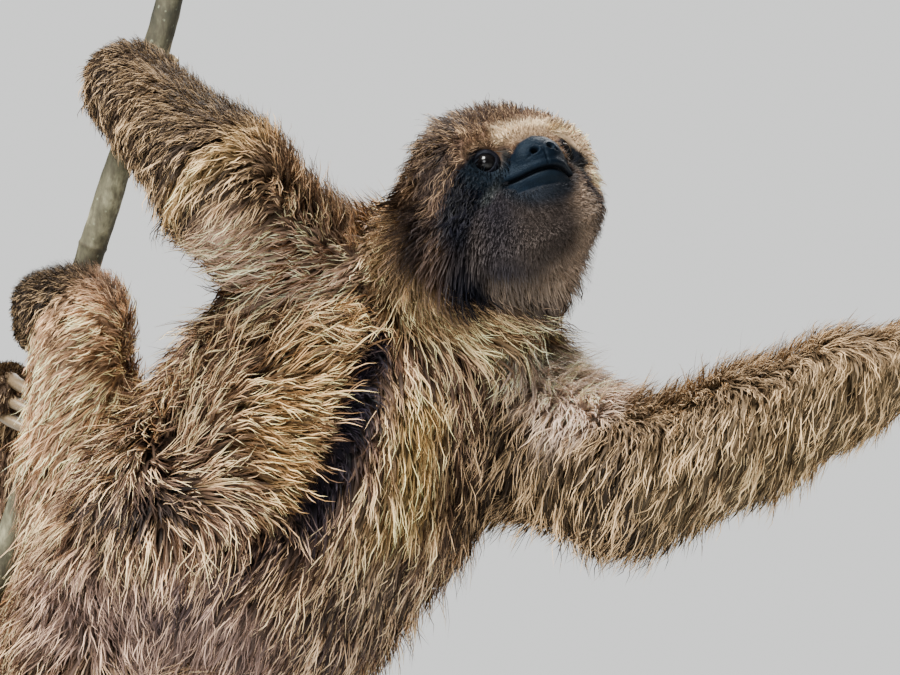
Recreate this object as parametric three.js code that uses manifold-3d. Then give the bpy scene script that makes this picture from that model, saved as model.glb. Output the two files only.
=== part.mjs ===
// Three-toed sloth, life size, climbing a thin stem with one arm reaching out.
// Millimetres, +Z up. The origin is the centre of the underside of the stand's base.
// The animal is one smooth body made from named bones of flesh and fur, then parted by thin cuts.
import * as THREE from 'three';
import Module from 'manifold-3d';

const wasm = await Module();
wasm.setup();

// Driving dimensions.
const GAP = 0.3;                  // clear space left between neighbouring solids
const BODY_CELL = 20.5;           // facet size on the trunk and limbs
const HEAD_CELL = 11;             // facet size on the head
const PAW_CELL = 10.5;            // facet size on the hands and feet
const STEM_RADIUS = 6.4;          // the stem's radius at its upper end
const STEM_TAPER = 0.9;           // how much thicker it is at its lower end
const EYE_RADIUS = 5.6;
const EYE_PLACE = { side: 19.1, forward: 25.8, up: 6.4 };     // in the head's own axes
const ORBIT = { radius: 9.5, forward: 11, up: 0.6 };          // hollow in the coat before each eye
const HAND_CLAW = { radius: 4.3, spread: 9.4, embed: 9 };     // three claws side by side
const FOOT_CLAW = { radius: 3.9, spread: 8.6, embed: 8 };
const CLAW_SIDES = 6;
const CLAW_STEPS = 5;
const CLAW_WIDTH = 0.74;          // a claw is narrower than it is deep
const CLAW_TIP = 0.12;            // a claw's tip as a share of its root
const GRIP = { sweep: 3.5, start: 0.35, inset: 1.2, tuck: 7.5 };  // turn in radians round the stem
const FREE_CLAW = { arc: 39, sweep: 1.75, start: -0.12, lift: -4 };
const BASE = { length: 330, depth: 230, height: 16, corner: 34, bevel: 2.5 };
const POST_RADIUS = 6;
const POST_FOOT = { radius: 17, height: 5, edge: 1.5 };
const CUP = { radius: 12.5, bore: 9.6, depth: 14, floor: 3, taper: 3 };
const PAD = { radius: 15, thickness: 4, taper: 3, edge: 1, reach: 11 };   // saddle under the belly
const SIDES = { stem: 8, post: 12, cut: 12, wall: 14 };
const STEM_STEPS = 18;

const COLOURS = {
  coat: 0x8b7258, face: 0x6a5a4c, eye: 0x1a1410, claw: 0x8d7a58, bark: 0x8a8267,
  base: 0x3a2c22, steel: 0xb9bcc0,
};

// Landmarks of the pose.
const AT = {
  chest: [78, -22, 294], ribs: [42, -23, 255], loin: [2, -12, 205], pelvis: [-39, 19, 165],
  rump: [-74, 51, 137], tailTip: [-100, 75, 103],
  neckBase: [85, -26, 311], nape: [117, -61, 334], skull: [119, -68, 353],
  leftScapula: [66, -18, 309], leftShoulder: [46, -6, 316], leftElbow: [-3, -83, 364],
  leftWrist: [-47, -11, 412], leftPalm: [-60, 21, 421],
  rightScapula: [86, -16, 286], rightShoulder: [106, -4, 272], rightElbow: [175, -66, 238],
  rightForearmA: [222, -77, 256], rightForearmB: [262, -81, 275], rightWrist: [299, -84, 286],
  rightPalm: [336, -74, 289],
  leftHip: [-58, 27, 169], leftKnee: [-68, 36, 243], leftAnkle: [-69, 8, 310],
  leftHeel: [-75, 8, 318], leftInstep: [-87, 22, 319], leftSole: [-93, 38, 311],
  rightHip: [-63, 50, 127], rightKnee: [-93, 135, 191], rightAnkle: [-112, 99, 274],
  rightInstep: [-109, 82, 282], rightSole: [-108.5, 62, 281.5],
};
// The stem's centre line, from its cut top to the cup that holds it.
const STEM = [
  [-25, 22, 488], [-34, 24, 448], [-45, 29, 413], [-60, 34, 367], [-69, 40, 340],
  [-78, 51, 312], [-88, 64, 279], [-97, 73, 245], [-108, 79, 212], [-123, 83, 176],
  [-132, 87, 130], [-134, 90, 92], [-134, 90, 44],
];
const BELLY_POST = { x: 22, y: -14 };
const SIDE_GRIP = { lower: 6, upper: 4 };     // the stem runs this way, by its points, where it is gripped

const vec = (p) => new THREE.Vector3(...p);
const V = Object.fromEntries(Object.entries(AT).map(([name, p]) => [name, vec(p)]));
const UP = new THREE.Vector3(0, 0, 1);
const mix = (a, b, t) => a.clone().lerp(b, t);
const toward = (a, b) => b.clone().sub(a).normalize();
const moved = (a, direction, by) => a.clone().addScaledVector(direction, by);

// The head's own axes: the face looks over the shoulder with its chin raised.
const HEAD_TURN = { yaw: 26.4, pitch: 32.5, roll: 13 };
function headAxes({ yaw, pitch, roll }) {
  const [y, p, r] = [yaw, pitch, roll].map(THREE.MathUtils.degToRad);
  const forward = new THREE.Vector3(Math.cos(p) * Math.sin(y), -Math.cos(p) * Math.cos(y), Math.sin(p));
  const level = new THREE.Vector3(Math.cos(y), Math.sin(y), 0);
  const above = forward.clone().cross(level);
  const left = level.clone().multiplyScalar(Math.cos(r)).addScaledVector(above, Math.sin(r));
  const up = above.clone().multiplyScalar(Math.cos(r)).addScaledVector(level, -Math.sin(r));
  return { forward, left, up };
}
const HEAD = headAxes(HEAD_TURN);
function inHead(left, forward, up) {
  return V.skull.clone().addScaledVector(HEAD.left, left)
    .addScaledVector(HEAD.forward, forward).addScaledVector(HEAD.up, up);
}

// A bone is a round cone of flesh and fur between two points. It may be flatter along one direction.
function bone(a, b, ra, rb, flat = 1, along = null) {
  return { a, b, ra, rb, flat, along: along && along.clone().normalize() };
}
const DORSAL = (() => {
  const axis = toward(V.pelvis, V.chest);
  const back = new THREE.Vector3(0, -1, 0);
  return back.addScaledVector(axis, -back.dot(axis)).normalize();
})();
const GRIPS = {
  hand_left: { point: [-42, 27.5, 421.8], end: V.leftPalm, heading: [-0.24, 0.93, 0.27] },
  foot_left: { point: [-77.7, 50.6, 313], end: V.leftSole, heading: [-0.45, 0.9, -0.01] },
  foot_right: { point: [-88.8, 64.8, 276], end: V.rightSole, heading: [-0.04, -0.96, -0.27] },
};
function gripAxes({ point, end, heading }) {
  const out = toward(vec(point), end);
  const onward = vec(heading);
  onward.addScaledVector(out, -onward.dot(out)).normalize();
  return { out, onward };
}
const RIGHT_CURL = new THREE.Vector3(0.12, 0.5, -0.86);     // the way the free hand's claws bend
const FLESH = {
  trunk: [
    bone(V.chest, V.ribs, 59, 79, 0.86, DORSAL), bone(V.ribs, V.loin, 79, 80, 0.84, DORSAL),
    bone(V.loin, V.pelvis, 78, 62, 0.9, DORSAL), bone(V.pelvis, V.rump, 58, 42),
  ],
  neck: [bone(V.neckBase, V.nape, 42, 38)],
  shoulder_left: [bone(V.leftScapula, V.leftShoulder, 42, 37)],
  shoulder_right: [bone(V.rightScapula, V.rightShoulder, 48, 41)],
  upper_arm_left: [bone(V.leftShoulder, V.leftElbow, 36, 30)],
  forearm_left: [bone(V.leftElbow, V.leftWrist, 30.5, 22)],
  hand_left: [bone(V.leftWrist, V.leftPalm, 19.5, 15, 0.68, gripAxes(GRIPS.hand_left).out)],
  upper_arm_right: [bone(V.rightShoulder, V.rightElbow, 41, 35)],
  forearm_right: [
    bone(V.rightElbow, V.rightForearmA, 33, 31), bone(V.rightForearmA, V.rightForearmB, 31, 24),
    bone(V.rightForearmB, V.rightWrist, 24, 16),
  ],
  hand_right: [bone(V.rightWrist, V.rightPalm, 17, 14.5, 0.74, RIGHT_CURL)],
  thigh_left: [bone(V.leftHip, V.leftKnee, 42, 33)],
  shin_left: [bone(V.leftKnee, V.leftAnkle, 30, 25.5)],
  foot_left: [
    bone(V.leftHeel, V.leftInstep, 20, 15),
    bone(V.leftInstep, V.leftSole, 14.5, 13, 0.74, gripAxes(GRIPS.foot_left).out),
  ],
  thigh_right: [bone(V.rightHip, V.rightKnee, 44, 32)],
  shin_right: [bone(V.rightKnee, V.rightAnkle, 31, 22)],
  foot_right: [
    bone(V.rightAnkle, V.rightInstep, 20, 15),
    bone(V.rightInstep, V.rightSole, 14.5, 13, 0.72, gripAxes(GRIPS.foot_right).out),
  ],
  tail: [bone(V.rump, V.tailTip, 27, 14)],
  head: [
    bone(inHead(-3, -8, 7), inHead(-2, -2, 8), 41, 41), bone(inHead(0, 14, 0), inHead(0, 33, -2.5), 25, 11.5),
    bone(inHead(-29, -9, -9), inHead(18, 0, -9), 27, 25), bone(inHead(0, 2, -20), inHead(4, -5, -33), 32, 21),
    bone(inHead(-20, 13, 13), inHead(20, 13, 13), 21.5, 21.5),
  ],
};
// Neighbours flow into one another over the given width; different groups only meet.
const WITHIN_PART = 12;
const GROUPS = [
  { width: 22, parts: ['trunk', 'neck', 'shoulder_left', 'shoulder_right', 'upper_arm_left',
    'upper_arm_right', 'thigh_left', 'thigh_right', 'tail'] },
  { width: 12, parts: ['upper_arm_left', 'forearm_left', 'hand_left'] },
  { width: 12, parts: ['upper_arm_right', 'forearm_right', 'hand_right'] },
  { width: 10, parts: ['thigh_left', 'shin_left', 'foot_left'] },
  { width: 10, parts: ['thigh_right', 'shin_right', 'foot_right'] },
  { width: 16, parts: ['neck', 'head'] },
];

const scratch = new THREE.Vector3();
const axisScratch = new THREE.Vector3();
function boneDistance(p, { a, b, ra, rb, flat, along }) {
  axisScratch.subVectors(b, a);
  const t = THREE.MathUtils.clamp(scratch.subVectors(p, a).dot(axisScratch) / axisScratch.lengthSq(), 0, 1);
  scratch.addScaledVector(axisScratch, -t);
  const radius = ra + (rb - ra) * t;
  if (flat === 1) return scratch.length() - radius;
  const height = scratch.dot(along);
  const side2 = Math.max(scratch.lengthSq() - height * height, 0);
  const low = radius * flat;
  const k0 = Math.sqrt(side2 / radius ** 2 + height ** 2 / low ** 2);
  const k1 = Math.sqrt(side2 / radius ** 4 + height ** 2 / low ** 4);
  return k0 < 1e-6 ? -low : k0 * (k0 - 1) / k1;
}
function blend(a, b, width) {
  const h = Math.max(width - Math.abs(a - b), 0) / width;
  return Math.min(a, b) - h * h * width / 4;
}
function bodyDistance(p) {
  const parts = {};
  for (const [name, bones] of Object.entries(FLESH)) {
    parts[name] = bones.map((item) => boneDistance(p, item)).reduce((a, b) => blend(a, b, WITHIN_PART));
  }
  const groups = GROUPS.map(({ width, parts: names }) => (
    names.map((name) => parts[name]).reduce((a, b) => blend(a, b, width))));
  return Math.min(...groups);
}

// A dual mesh of the body's surface on a grid: one vertex for each lobe of the body in a cell that
// the surface crosses, drawn onto the surface itself, and one quad round each grid edge it crosses.
function surfaceNet(low, high, cell) {
  const count = low.map((value, i) => Math.ceil((high[i] - value) / cell) + 1);
  const at = (i, j, k) => (k * count[1] + j) * count[0] + i;
  const values = new Float64Array(count[0] * count[1] * count[2]);
  const point = (i, j, k) => new THREE.Vector3(low[0] + i * cell, low[1] + j * cell, low[2] + k * cell);
  for (let k = 0; k < count[2]; k++) {
    for (let j = 0; j < count[1]; j++) {
      for (let i = 0; i < count[0]; i++) {
        const onRim = [i, j, k].some((n, axis) => n === 0 || n === count[axis] - 1);
        values[at(i, j, k)] = onRim ? cell : bodyDistance(point(i, j, k));
      }
    }
  }
  const corners = [];
  for (let n = 0; n < 8; n++) corners.push([n & 1, (n >> 1) & 1, n >> 2]);
  const edges = [];
  for (let n = 0; n < 8; n++) {
    for (const bit of [1, 2, 4]) if (!(n & bit)) edges.push([n, n | bit]);
  }
  const vertices = [];
  const owner = new Map();
  for (let k = 0; k + 1 < count[2]; k++) {
    for (let j = 0; j + 1 < count[1]; j++) {
      for (let i = 0; i + 1 < count[0]; i++) {
        const value = corners.map(([x, y, z]) => values[at(i + x, j + y, k + z)]);
        const label = sameSide(value, edges);
        const sums = new Map();
        for (const [m, n] of edges) {
          if ((value[m] < 0) === (value[n] < 0)) continue;
          const key = value[m] < 0 ? label[m] : label[n];
          if (!sums.has(key)) sums.set(key, { total: new THREE.Vector3(), number: 0 });
          const [p, q] = [m, n].map((c) => point(i + corners[c][0], j + corners[c][1], k + corners[c][2]));
          sums.get(key).total.add(p.lerp(q, value[m] / (value[m] - value[n])));
          sums.get(key).number += 1;
        }
        for (const [key, { total, number }] of sums) {
          owner.set(`${at(i, j, k)}:${key}`, vertices.length);
          vertices.push(ontoBody(total.divideScalar(number), cell * 0.45));
        }
        owner.set(at(i, j, k), label);
      }
    }
  }
  const vertexOf = (cellIndex, inner) => {
    const corner = (inner[0] - cellIndex[0]) + 2 * (inner[1] - cellIndex[1]) + 4 * (inner[2] - cellIndex[2]);
    return owner.get(`${at(...cellIndex)}:${owner.get(at(...cellIndex))[corner]}`);
  };
  const triangles = [];
  for (let k = 0; k + 1 < count[2]; k++) {
    for (let j = 0; j + 1 < count[1]; j++) {
      for (let i = 0; i + 1 < count[0]; i++) {
        for (let axis = 0; axis < 3; axis++) {
          const start = [i, j, k];
          const end = start.map((value, n) => value + (n === axis ? 1 : 0));
          const [va, vb] = [values[at(...start)], values[at(...end)]];
          if ((va < 0) === (vb < 0)) continue;
          const inner = va < 0 ? start : end;
          const [u, v] = [(axis + 1) % 3, (axis + 2) % 3];
          const ring = [[0, 0], [1, 0], [1, 1], [0, 1]].map(([du, dv]) => {
            const c = [...start];
            c[u] -= du;
            c[v] -= dv;
            return vertexOf(c, inner);
          });
          if (va >= 0) ring.reverse();
          addQuad(triangles, vertices, ring);
        }
      }
    }
  }
  return solidFrom(vertices, triangles);
}
// Labels the corners of a cell so that corners joined along its edges on one side share a label.
function sameSide(value, edges) {
  const label = value.map((_, n) => n);
  for (let pass = 0; pass < 4; pass++) {
    for (const [m, n] of edges) {
      if ((value[m] < 0) === (value[n] < 0)) label[m] = label[n] = Math.min(label[m], label[n]);
    }
  }
  return label;
}
// Moves a point along the steepest slope until it lies on the body, by no more than the limit.
function ontoBody(start, limit) {
  const p = start.clone();
  const step = 0.5;
  for (let pass = 0; pass < 3; pass++) {
    const here = bodyDistance(p);
    const slope = new THREE.Vector3(...['x', 'y', 'z'].map((axis) => {
      const q = p.clone();
      q[axis] += step;
      return (bodyDistance(q) - here) / step;
    }));
    p.addScaledVector(slope, -here / Math.max(slope.lengthSq(), 0.2));
  }
  const shift = p.sub(start);
  return start.clone().add(shift.clampLength(0, limit));
}
// Splits a quad along its shorter diagonal.
function addQuad(triangles, vertices, [a, b, c, d]) {
  const across = vertices[a].distanceTo(vertices[c]);
  const other = vertices[b].distanceTo(vertices[d]);
  if (across <= other) triangles.push(a, b, c, a, c, d);
  else triangles.push(b, c, d, b, d, a);
}

// Solids and meshes.
function solidFrom(vertices, triangles) {
  const vertProperties = new Float32Array(vertices.length * 3);
  vertices.forEach((v, n) => v.toArray(vertProperties, n * 3));
  const mesh = new wasm.Mesh({ numProp: 3, vertProperties, triVerts: new Uint32Array(triangles) });
  mesh.merge();
  return new wasm.Manifold(mesh);
}
function solidFromGeometry(geometry) {
  const { position } = geometry.attributes;
  const places = new Map();
  const vertices = [];
  const number = [];
  for (let n = 0; n < position.count; n++) {
    const v = new THREE.Vector3().fromBufferAttribute(position, n);
    const key = v.toArray().map((x) => x.toFixed(4)).join();
    if (!places.has(key)) places.set(key, vertices.push(v) - 1);
    number.push(places.get(key));
  }
  const index = geometry.index ? [...geometry.index.array] : number.map((_, n) => n);
  const triangles = [];
  for (let n = 0; n < index.length; n += 3) {
    const [a, b, c] = [0, 1, 2].map((m) => number[index[n + m]]);
    if (a !== b && b !== c && c !== a) triangles.push(a, b, c);
  }
  return solidFrom(vertices, triangles);
}
function geometryFrom(solid) {
  const { vertProperties, triVerts } = solid.getMesh();
  const geometry = new THREE.BufferGeometry();
  geometry.setAttribute('position', new THREE.BufferAttribute(new Float32Array(vertProperties), 3));
  geometry.setIndex(new THREE.BufferAttribute(new Uint32Array(triVerts), 1));
  geometry.computeVertexNormals();
  return geometry;
}
// A closed tube through rings; each ring has a centre, two cross directions and two radii.
function sweep(rings, sides) {
  const vertices = [];
  const triangles = [];
  for (const { centre, u, v, ru, rv } of rings) {
    for (let n = 0; n < sides; n++) {
      const angle = (n / sides) * Math.PI * 2;
      vertices.push(centre.clone().addScaledVector(u, Math.cos(angle) * ru)
        .addScaledVector(v, Math.sin(angle) * rv));
    }
  }
  for (let ring = 0; ring + 1 < rings.length; ring++) {
    for (let n = 0; n < sides; n++) {
      const m = (n + 1) % sides;
      const [here, next] = [ring * sides, (ring + 1) * sides];
      const [a, b, c, d] = [here + n, here + m, next + m, next + n];
      triangles.push(a, b, c, a, c, d);
    }
  }
  const first = vertices.push(rings[0].centre.clone()) - 1;
  const last = vertices.push(rings[rings.length - 1].centre.clone()) - 1;
  const end = (rings.length - 1) * sides;
  for (let n = 0; n < sides; n++) {
    const m = (n + 1) % sides;
    triangles.push(first, m, n, last, end + n, end + m);
  }
  const solid = solidFrom(vertices, triangles);
  if (solid.volume() > 0) return solid;
  const turned = [];
  for (let n = 0; n < triangles.length; n += 3) turned.push(triangles[n], triangles[n + 2], triangles[n + 1]);
  return solidFrom(vertices, turned);
}
function frameAcross(direction) {
  const other = Math.abs(direction.z) < 0.9 ? UP : new THREE.Vector3(1, 0, 0);
  const u = other.clone().cross(direction).normalize();
  return { u, v: direction.clone().cross(u) };
}
function tube(points, radii, sides) {
  const curve = new THREE.CatmullRomCurve3(points);
  const steps = radii.length - 1;
  return sweep(radii.map((radius, n) => {
    const direction = curve.getTangent(n / steps);
    return { centre: curve.getPoint(n / steps), ...frameAcross(direction), ru: radius, rv: radius };
  }), sides);
}
function cylinderFrom(start, direction, radius, length, sides = SIDES.wall) {
  const { u, v } = frameAcross(direction);
  return sweep([0, length].map((by) => (
    { centre: moved(start, direction, by), u, v, ru: radius, rv: radius })), sides);
}
function ball(centre, radius, detail) {
  const geometry = new THREE.IcosahedronGeometry(radius, detail);
  geometry.translate(...centre.toArray());
  return solidFromGeometry(geometry);
}
function largest(solid) {
  return solid.decompose().reduce((a, b) => (a.volume() > b.volume() ? a : b));
}
function disc(centre, direction, radius) {
  return cylinderFrom(moved(centre, direction, -GAP / 2), direction, radius, GAP, SIDES.cut);
}

// The parts of the body that take finer facets, each beyond its own plane.
const FINE = {
  head: { start: [102, -47, 332], heading: [0.5, -0.75, 0.43], radius: 66, length: 135, cell: HEAD_CELL },
  hand_left: { start: [-44, -16, 409], heading: [-0.41, 0.84, 0.355], radius: 36, length: 74, cell: PAW_CELL },
  hand_right: { start: [305, -83, 287], heading: [0.97, 0.09, 0.18], radius: 30, length: 74, cell: PAW_CELL },
  foot_left: { start: [-80, 11, 318], heading: [-0.6, 0.78, 0.1], radius: 34, length: 66, cell: PAW_CELL },
  foot_right: { start: [-110, 91, 282], heading: [0.02, -1, -0.02], radius: 22, length: 43, cell: PAW_CELL },
};
function fineRegion({ start, heading, radius, length }, grow) {
  const direction = vec(heading).normalize();
  return cylinderFrom(moved(vec(start), direction, -grow), direction, radius + grow, length + grow);
}
function finePart(item) {
  const region = fineRegion(item, 0);
  const { min, max } = region.boundingBox();
  const margin = item.cell * 2.5;
  const net = surfaceNet(min.map((x) => x - margin), max.map((x) => x + margin), item.cell);
  return largest(net.intersect(region));
}

// Thin cuts across the body, each a disc at a joint.
const turn = (a, b, c) => toward(a, b).add(toward(b, c)).normalize();
const CUTS = [
  { at: mix(V.leftShoulder, V.leftElbow, 0.62), heading: toward(V.leftShoulder, V.leftElbow), radius: 69 },
  { at: V.leftElbow, heading: turn(V.leftShoulder, V.leftElbow, V.leftWrist), radius: 56 },
  { at: mix(V.rightShoulder, V.rightElbow, 0.6), heading: toward(V.rightShoulder, V.rightElbow), radius: 50 },
  { at: V.rightElbow, heading: turn(V.rightShoulder, V.rightElbow, V.rightForearmA), radius: 52 },
  { at: mix(V.ribs, V.loin, 0.5), heading: toward(V.ribs, V.loin), radius: 104 },
  { at: mix(V.rightHip, V.rightKnee, 0.6), heading: toward(V.rightHip, V.rightKnee), radius: 50 },
  { at: V.rightKnee, heading: turn(V.rightHip, V.rightKnee, V.rightAnkle), radius: 51 },
];
// Parts that spring from a broad surface are cut out as short lengths, with a wall round them.
const LENGTHS = {
  neck: { start: [89, -31, 313], heading: [0.607, -0.664, 0.436], radius: 60, length: 60 },
  tail: { start: [-92, 67, 113], heading: [-0.53, 0.49, -0.69], radius: 30, length: 40 },
};
// The left leg lies along the flank, so a tube round it parts it from the trunk.
const LEG_TUBE = { radii: [46, 45, 42, 38, 34.5, 33, 33], above: 16, beyond: 40, sides: 10 };
function legRegion(grow) {
  const start = moved(V.leftHip, toward(V.leftKnee, V.leftHip), LEG_TUBE.above);
  const end = moved(V.leftAnkle, toward(V.leftKnee, V.leftAnkle), LEG_TUBE.beyond);
  return tube([start, V.leftHip, mix(V.leftHip, V.leftKnee, 0.6), V.leftKnee, V.leftAnkle, end],
    LEG_TUBE.radii.map((radius) => radius + grow), LEG_TUBE.sides);
}
const SEEDS = {
  neck: mix(V.neckBase, V.nape, 0.3), trunk_front: V.ribs, trunk_rear: V.loin, tail: V.tailTip,
  upper_arm_left: mix(V.leftShoulder, V.leftElbow, 0.8), forearm_left: mix(V.leftElbow, V.leftWrist, 0.5),
  upper_arm_right: mix(V.rightShoulder, V.rightElbow, 0.8), forearm_right: V.rightForearmA,
  thigh_right: mix(V.rightHip, V.rightKnee, 0.75), shin_right: mix(V.rightKnee, V.rightAnkle, 0.5),
  thigh_left: mix(V.leftHip, V.leftKnee, 0.5), shin_left: mix(V.leftKnee, V.leftAnkle, 0.5),
};
function partBody() {
  const bodyLow = [-170, -150, 60];
  const bodyHigh = [400, 205, 480];
  let body = surfaceNet(bodyLow, bodyHigh, BODY_CELL);
  const solids = {};
  for (const [name, item] of Object.entries(FINE)) {
    solids[name] = finePart(item);
    body = body.subtract(fineRegion(item, GAP));
  }
  const knee = disc(V.leftKnee, turn(V.leftHip, V.leftKnee, V.leftAnkle), 60);
  const leg = body.intersect(legRegion(0)).subtract(knee);
  let rest = body.subtract(legRegion(GAP));
  const lengths = [];
  for (const item of Object.values(LENGTHS)) {
    lengths.push(rest.intersect(fineRegion(item, 0)));
    rest = rest.subtract(fineRegion(item, GAP));
  }
  const discs = CUTS.map(({ at, heading, radius }) => disc(at, heading, radius));
  const pieces = [rest, leg, ...lengths].flatMap((solid) => (
    discs.reduce((whole, cut) => whole.subtract(cut), solid).decompose()));
  for (const [name, seed] of Object.entries(SEEDS)) {
    const probe = ball(seed, 2, 0);
    solids[name] = pieces.find((piece) => piece.intersect(probe).volume() > 1);
  }
  return solids;
}

// Claws: each follows an arc, thick at its root and fine at its tip.
function clawRings(path, radius, grow) {
  const rings = [];
  for (let n = 0; n <= CLAW_STEPS; n++) {
    const t = n / CLAW_STEPS;
    const { centre, u, v } = path(t);
    const r = radius * (CLAW_TIP + (1 - CLAW_TIP) * Math.sqrt(1 - t ** 1.7)) + grow;
    rings.push({ centre, u, v, ru: r, rv: r * CLAW_WIDTH });
  }
  return rings;
}
function gripClaw(grip, size, offset, grow) {
  const { out, onward } = gripAxes(grip);
  const axis = out.clone().cross(onward);
  const stemWay = toward(vec(STEM[SIDE_GRIP.lower]), vec(STEM[SIDE_GRIP.upper]));
  const reach = vec(grip.point).distanceTo(grip.end);
  const centre = moved(vec(grip.point), stemWay, offset);
  const rootTurn = GRIP.start - size.embed / reach;
  return sweep(clawRings((t) => {
    const angle = rootTurn + t * GRIP.sweep;
    const away = reach - GRIP.inset - GRIP.tuck * t ** 0.7;
    const u = out.clone().multiplyScalar(Math.cos(angle)).addScaledVector(onward, Math.sin(angle));
    return { centre: moved(centre, u, away), u, v: axis };
  }, size.radius, grow), CLAW_SIDES);
}
function freeClaw(size, offset, grow) {
  const { arc } = FREE_CLAW;
  const onward = toward(V.rightWrist, V.rightPalm);
  const curl = RIGHT_CURL.clone();
  curl.addScaledVector(onward, -curl.dot(onward)).normalize();
  const across = onward.clone().cross(curl);
  const start = moved(moved(V.rightPalm, across, offset), curl, FREE_CLAW.lift);
  return sweep(clawRings((t) => {
    const angle = t * FREE_CLAW.sweep + FREE_CLAW.start;
    const centre = moved(moved(start, onward, arc * Math.sin(angle)), curl, arc * (1 - Math.cos(angle)));
    const u = curl.clone().multiplyScalar(-Math.cos(angle)).addScaledVector(onward, Math.sin(angle));
    return { centre, u, v: across };
  }, size.radius, grow), CLAW_SIDES);
}
function claws() {
  const list = [];
  const numbers = [-1, 0, 1];
  for (const [limb, grip] of Object.entries(GRIPS)) {
    const size = limb.startsWith('hand') ? HAND_CLAW : FOOT_CLAW;
    for (const n of numbers) {
      list.push({ limb, number: n + 2, make: (grow) => gripClaw(grip, size, n * size.spread, grow) });
    }
  }
  for (const n of numbers) {
    const make = (grow) => freeClaw(HAND_CLAW, n * HAND_CLAW.spread, grow);
    list.push({ limb: 'hand_right', number: n + 2, make });
  }
  return list;
}

// The stem, cut short at both ends.
function stemSolid() {
  const radii = Array.from({ length: STEM_STEPS + 1 }, (_, n) => STEM_RADIUS + STEM_TAPER * (n / STEM_STEPS));
  return tube(STEM.map(vec), radii, SIDES.stem);
}

// The stand: a plate, a post with a cup for the stem, and a post with a pad for the belly.
function lathe(profile, sides, place) {
  const geometry = new THREE.LatheGeometry(profile.map(([r, z]) => new THREE.Vector2(r, z)), sides);
  geometry.rotateX(Math.PI / 2);
  geometry.translate(...place);
  return geometry;
}
function basePlate() {
  const { length, depth, height, corner, bevel } = BASE;
  const [x, y] = [length / 2 - bevel, depth / 2 - bevel];
  const shape = new THREE.Shape();
  shape.moveTo(-x + corner, -y);
  shape.lineTo(x - corner, -y);
  shape.absarc(x - corner, -y + corner, corner, -Math.PI / 2, 0);
  shape.lineTo(x, y - corner);
  shape.absarc(x - corner, y - corner, corner, 0, Math.PI / 2);
  shape.lineTo(-x + corner, y);
  shape.absarc(-x + corner, y - corner, corner, Math.PI / 2, Math.PI);
  shape.lineTo(-x, -y + corner);
  shape.absarc(-x + corner, -y + corner, corner, Math.PI, Math.PI * 1.5);
  const geometry = new THREE.ExtrudeGeometry(shape, {
    depth: height - bevel, curveSegments: 4, bevelEnabled: true, bevelSize: bevel,
    bevelThickness: bevel, bevelSegments: 1,
  });
  const plate = solidFromGeometry(geometry);
  const under = new THREE.BoxGeometry(length * 2, depth * 2, 40);
  under.translate(0, 0, -20);
  return plate.subtract(solidFromGeometry(under));
}
const FOOT_Z = BASE.height + GAP;
// The profile of a post's round foot, up to the rod.
function footProfile(grow) {
  const { radius, height, edge } = POST_FOOT;
  return [
    [0, FOOT_Z - grow], [radius + grow, FOOT_Z - grow], [radius + grow, FOOT_Z + height - edge],
    [radius - edge + grow, FOOT_Z + height], [POST_RADIUS + grow, FOOT_Z + height + edge],
  ];
}
function stemPost() {
  const [x, y, bottom] = STEM[STEM.length - 1];
  const floor = bottom - GAP;
  const profile = [
    ...footProfile(0), [POST_RADIUS, floor - CUP.floor - CUP.taper], [CUP.radius, floor - CUP.floor],
    [CUP.radius, floor + CUP.depth], [CUP.bore, floor + CUP.depth], [CUP.bore, floor], [0, floor],
  ];
  return solidFromGeometry(lathe(profile, SIDES.post, [x, y, 0]));
}
function bellyPost(top, grow) {
  const { radius, thickness, taper, edge } = PAD;
  const profile = [
    ...footProfile(grow), [POST_RADIUS + grow, top - thickness - taper],
    [radius - edge + grow, top - thickness - grow], [radius + grow, top - thickness + edge],
    [radius + grow, top - edge + grow], [radius - edge + grow, top + grow], [0, top + grow],
  ];
  return solidFromGeometry(lathe(profile, SIDES.post, [BELLY_POST.x, BELLY_POST.y, 0]));
}
function bellyHeight() {
  let z = BASE.height;
  while (bodyDistance(new THREE.Vector3(BELLY_POST.x, BELLY_POST.y, z)) > 0) z += 0.25;
  return z + PAD.reach;
}

// Everything together.
function build() {
  const solids = partBody();
  const list = claws();
  for (const side of [-1, 1]) {
    const name = side > 0 ? 'eye_left' : 'eye_right';
    const centre = inHead(side * EYE_PLACE.side, EYE_PLACE.forward, EYE_PLACE.up);
    const hollow = moved(moved(centre, HEAD.forward, ORBIT.forward), HEAD.up, ORBIT.up);
    solids.head = solids.head.subtract(ball(hollow, ORBIT.radius, 1))
      .subtract(ball(centre, EYE_RADIUS + GAP, 1));
    solids[name] = ball(centre, EYE_RADIUS, 1);
  }
  for (const { limb, number, make } of list) {
    solids[limb] = largest(solids[limb].subtract(make(GAP)));
    solids.shin_left = solids.shin_left.subtract(make(GAP));
    solids[`claw_${limb}_${number}`] = make(0);
  }
  solids.perch_stem = stemSolid();
  const top = bellyHeight();
  solids.stand_base = basePlate();
  solids.stand_post_stem = stemPost();
  solids.stand_post_belly = bellyPost(top, 0);
  for (const name of ['trunk_front', 'trunk_rear']) {
    solids[name] = solids[name].subtract(bellyPost(top, GAP));
  }
  return solids;
}

function finish(name) {
  if (name.startsWith('eye')) return { color: COLOURS.eye, roughness: 0.1, metalness: 0 };
  if (name.startsWith('claw')) return { color: COLOURS.claw, roughness: 0.4, metalness: 0 };
  if (name.startsWith('perch')) return { color: COLOURS.bark, roughness: 0.9, metalness: 0 };
  if (name === 'stand_base') return { color: COLOURS.base, roughness: 0.35, metalness: 0 };
  if (name.startsWith('stand')) return { color: COLOURS.steel, roughness: 0.3, metalness: 1 };
  if (name === 'head') return { color: COLOURS.face, roughness: 0.9, metalness: 0 };
  return { color: COLOURS.coat, roughness: 0.95, metalness: 0 };
}

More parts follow.
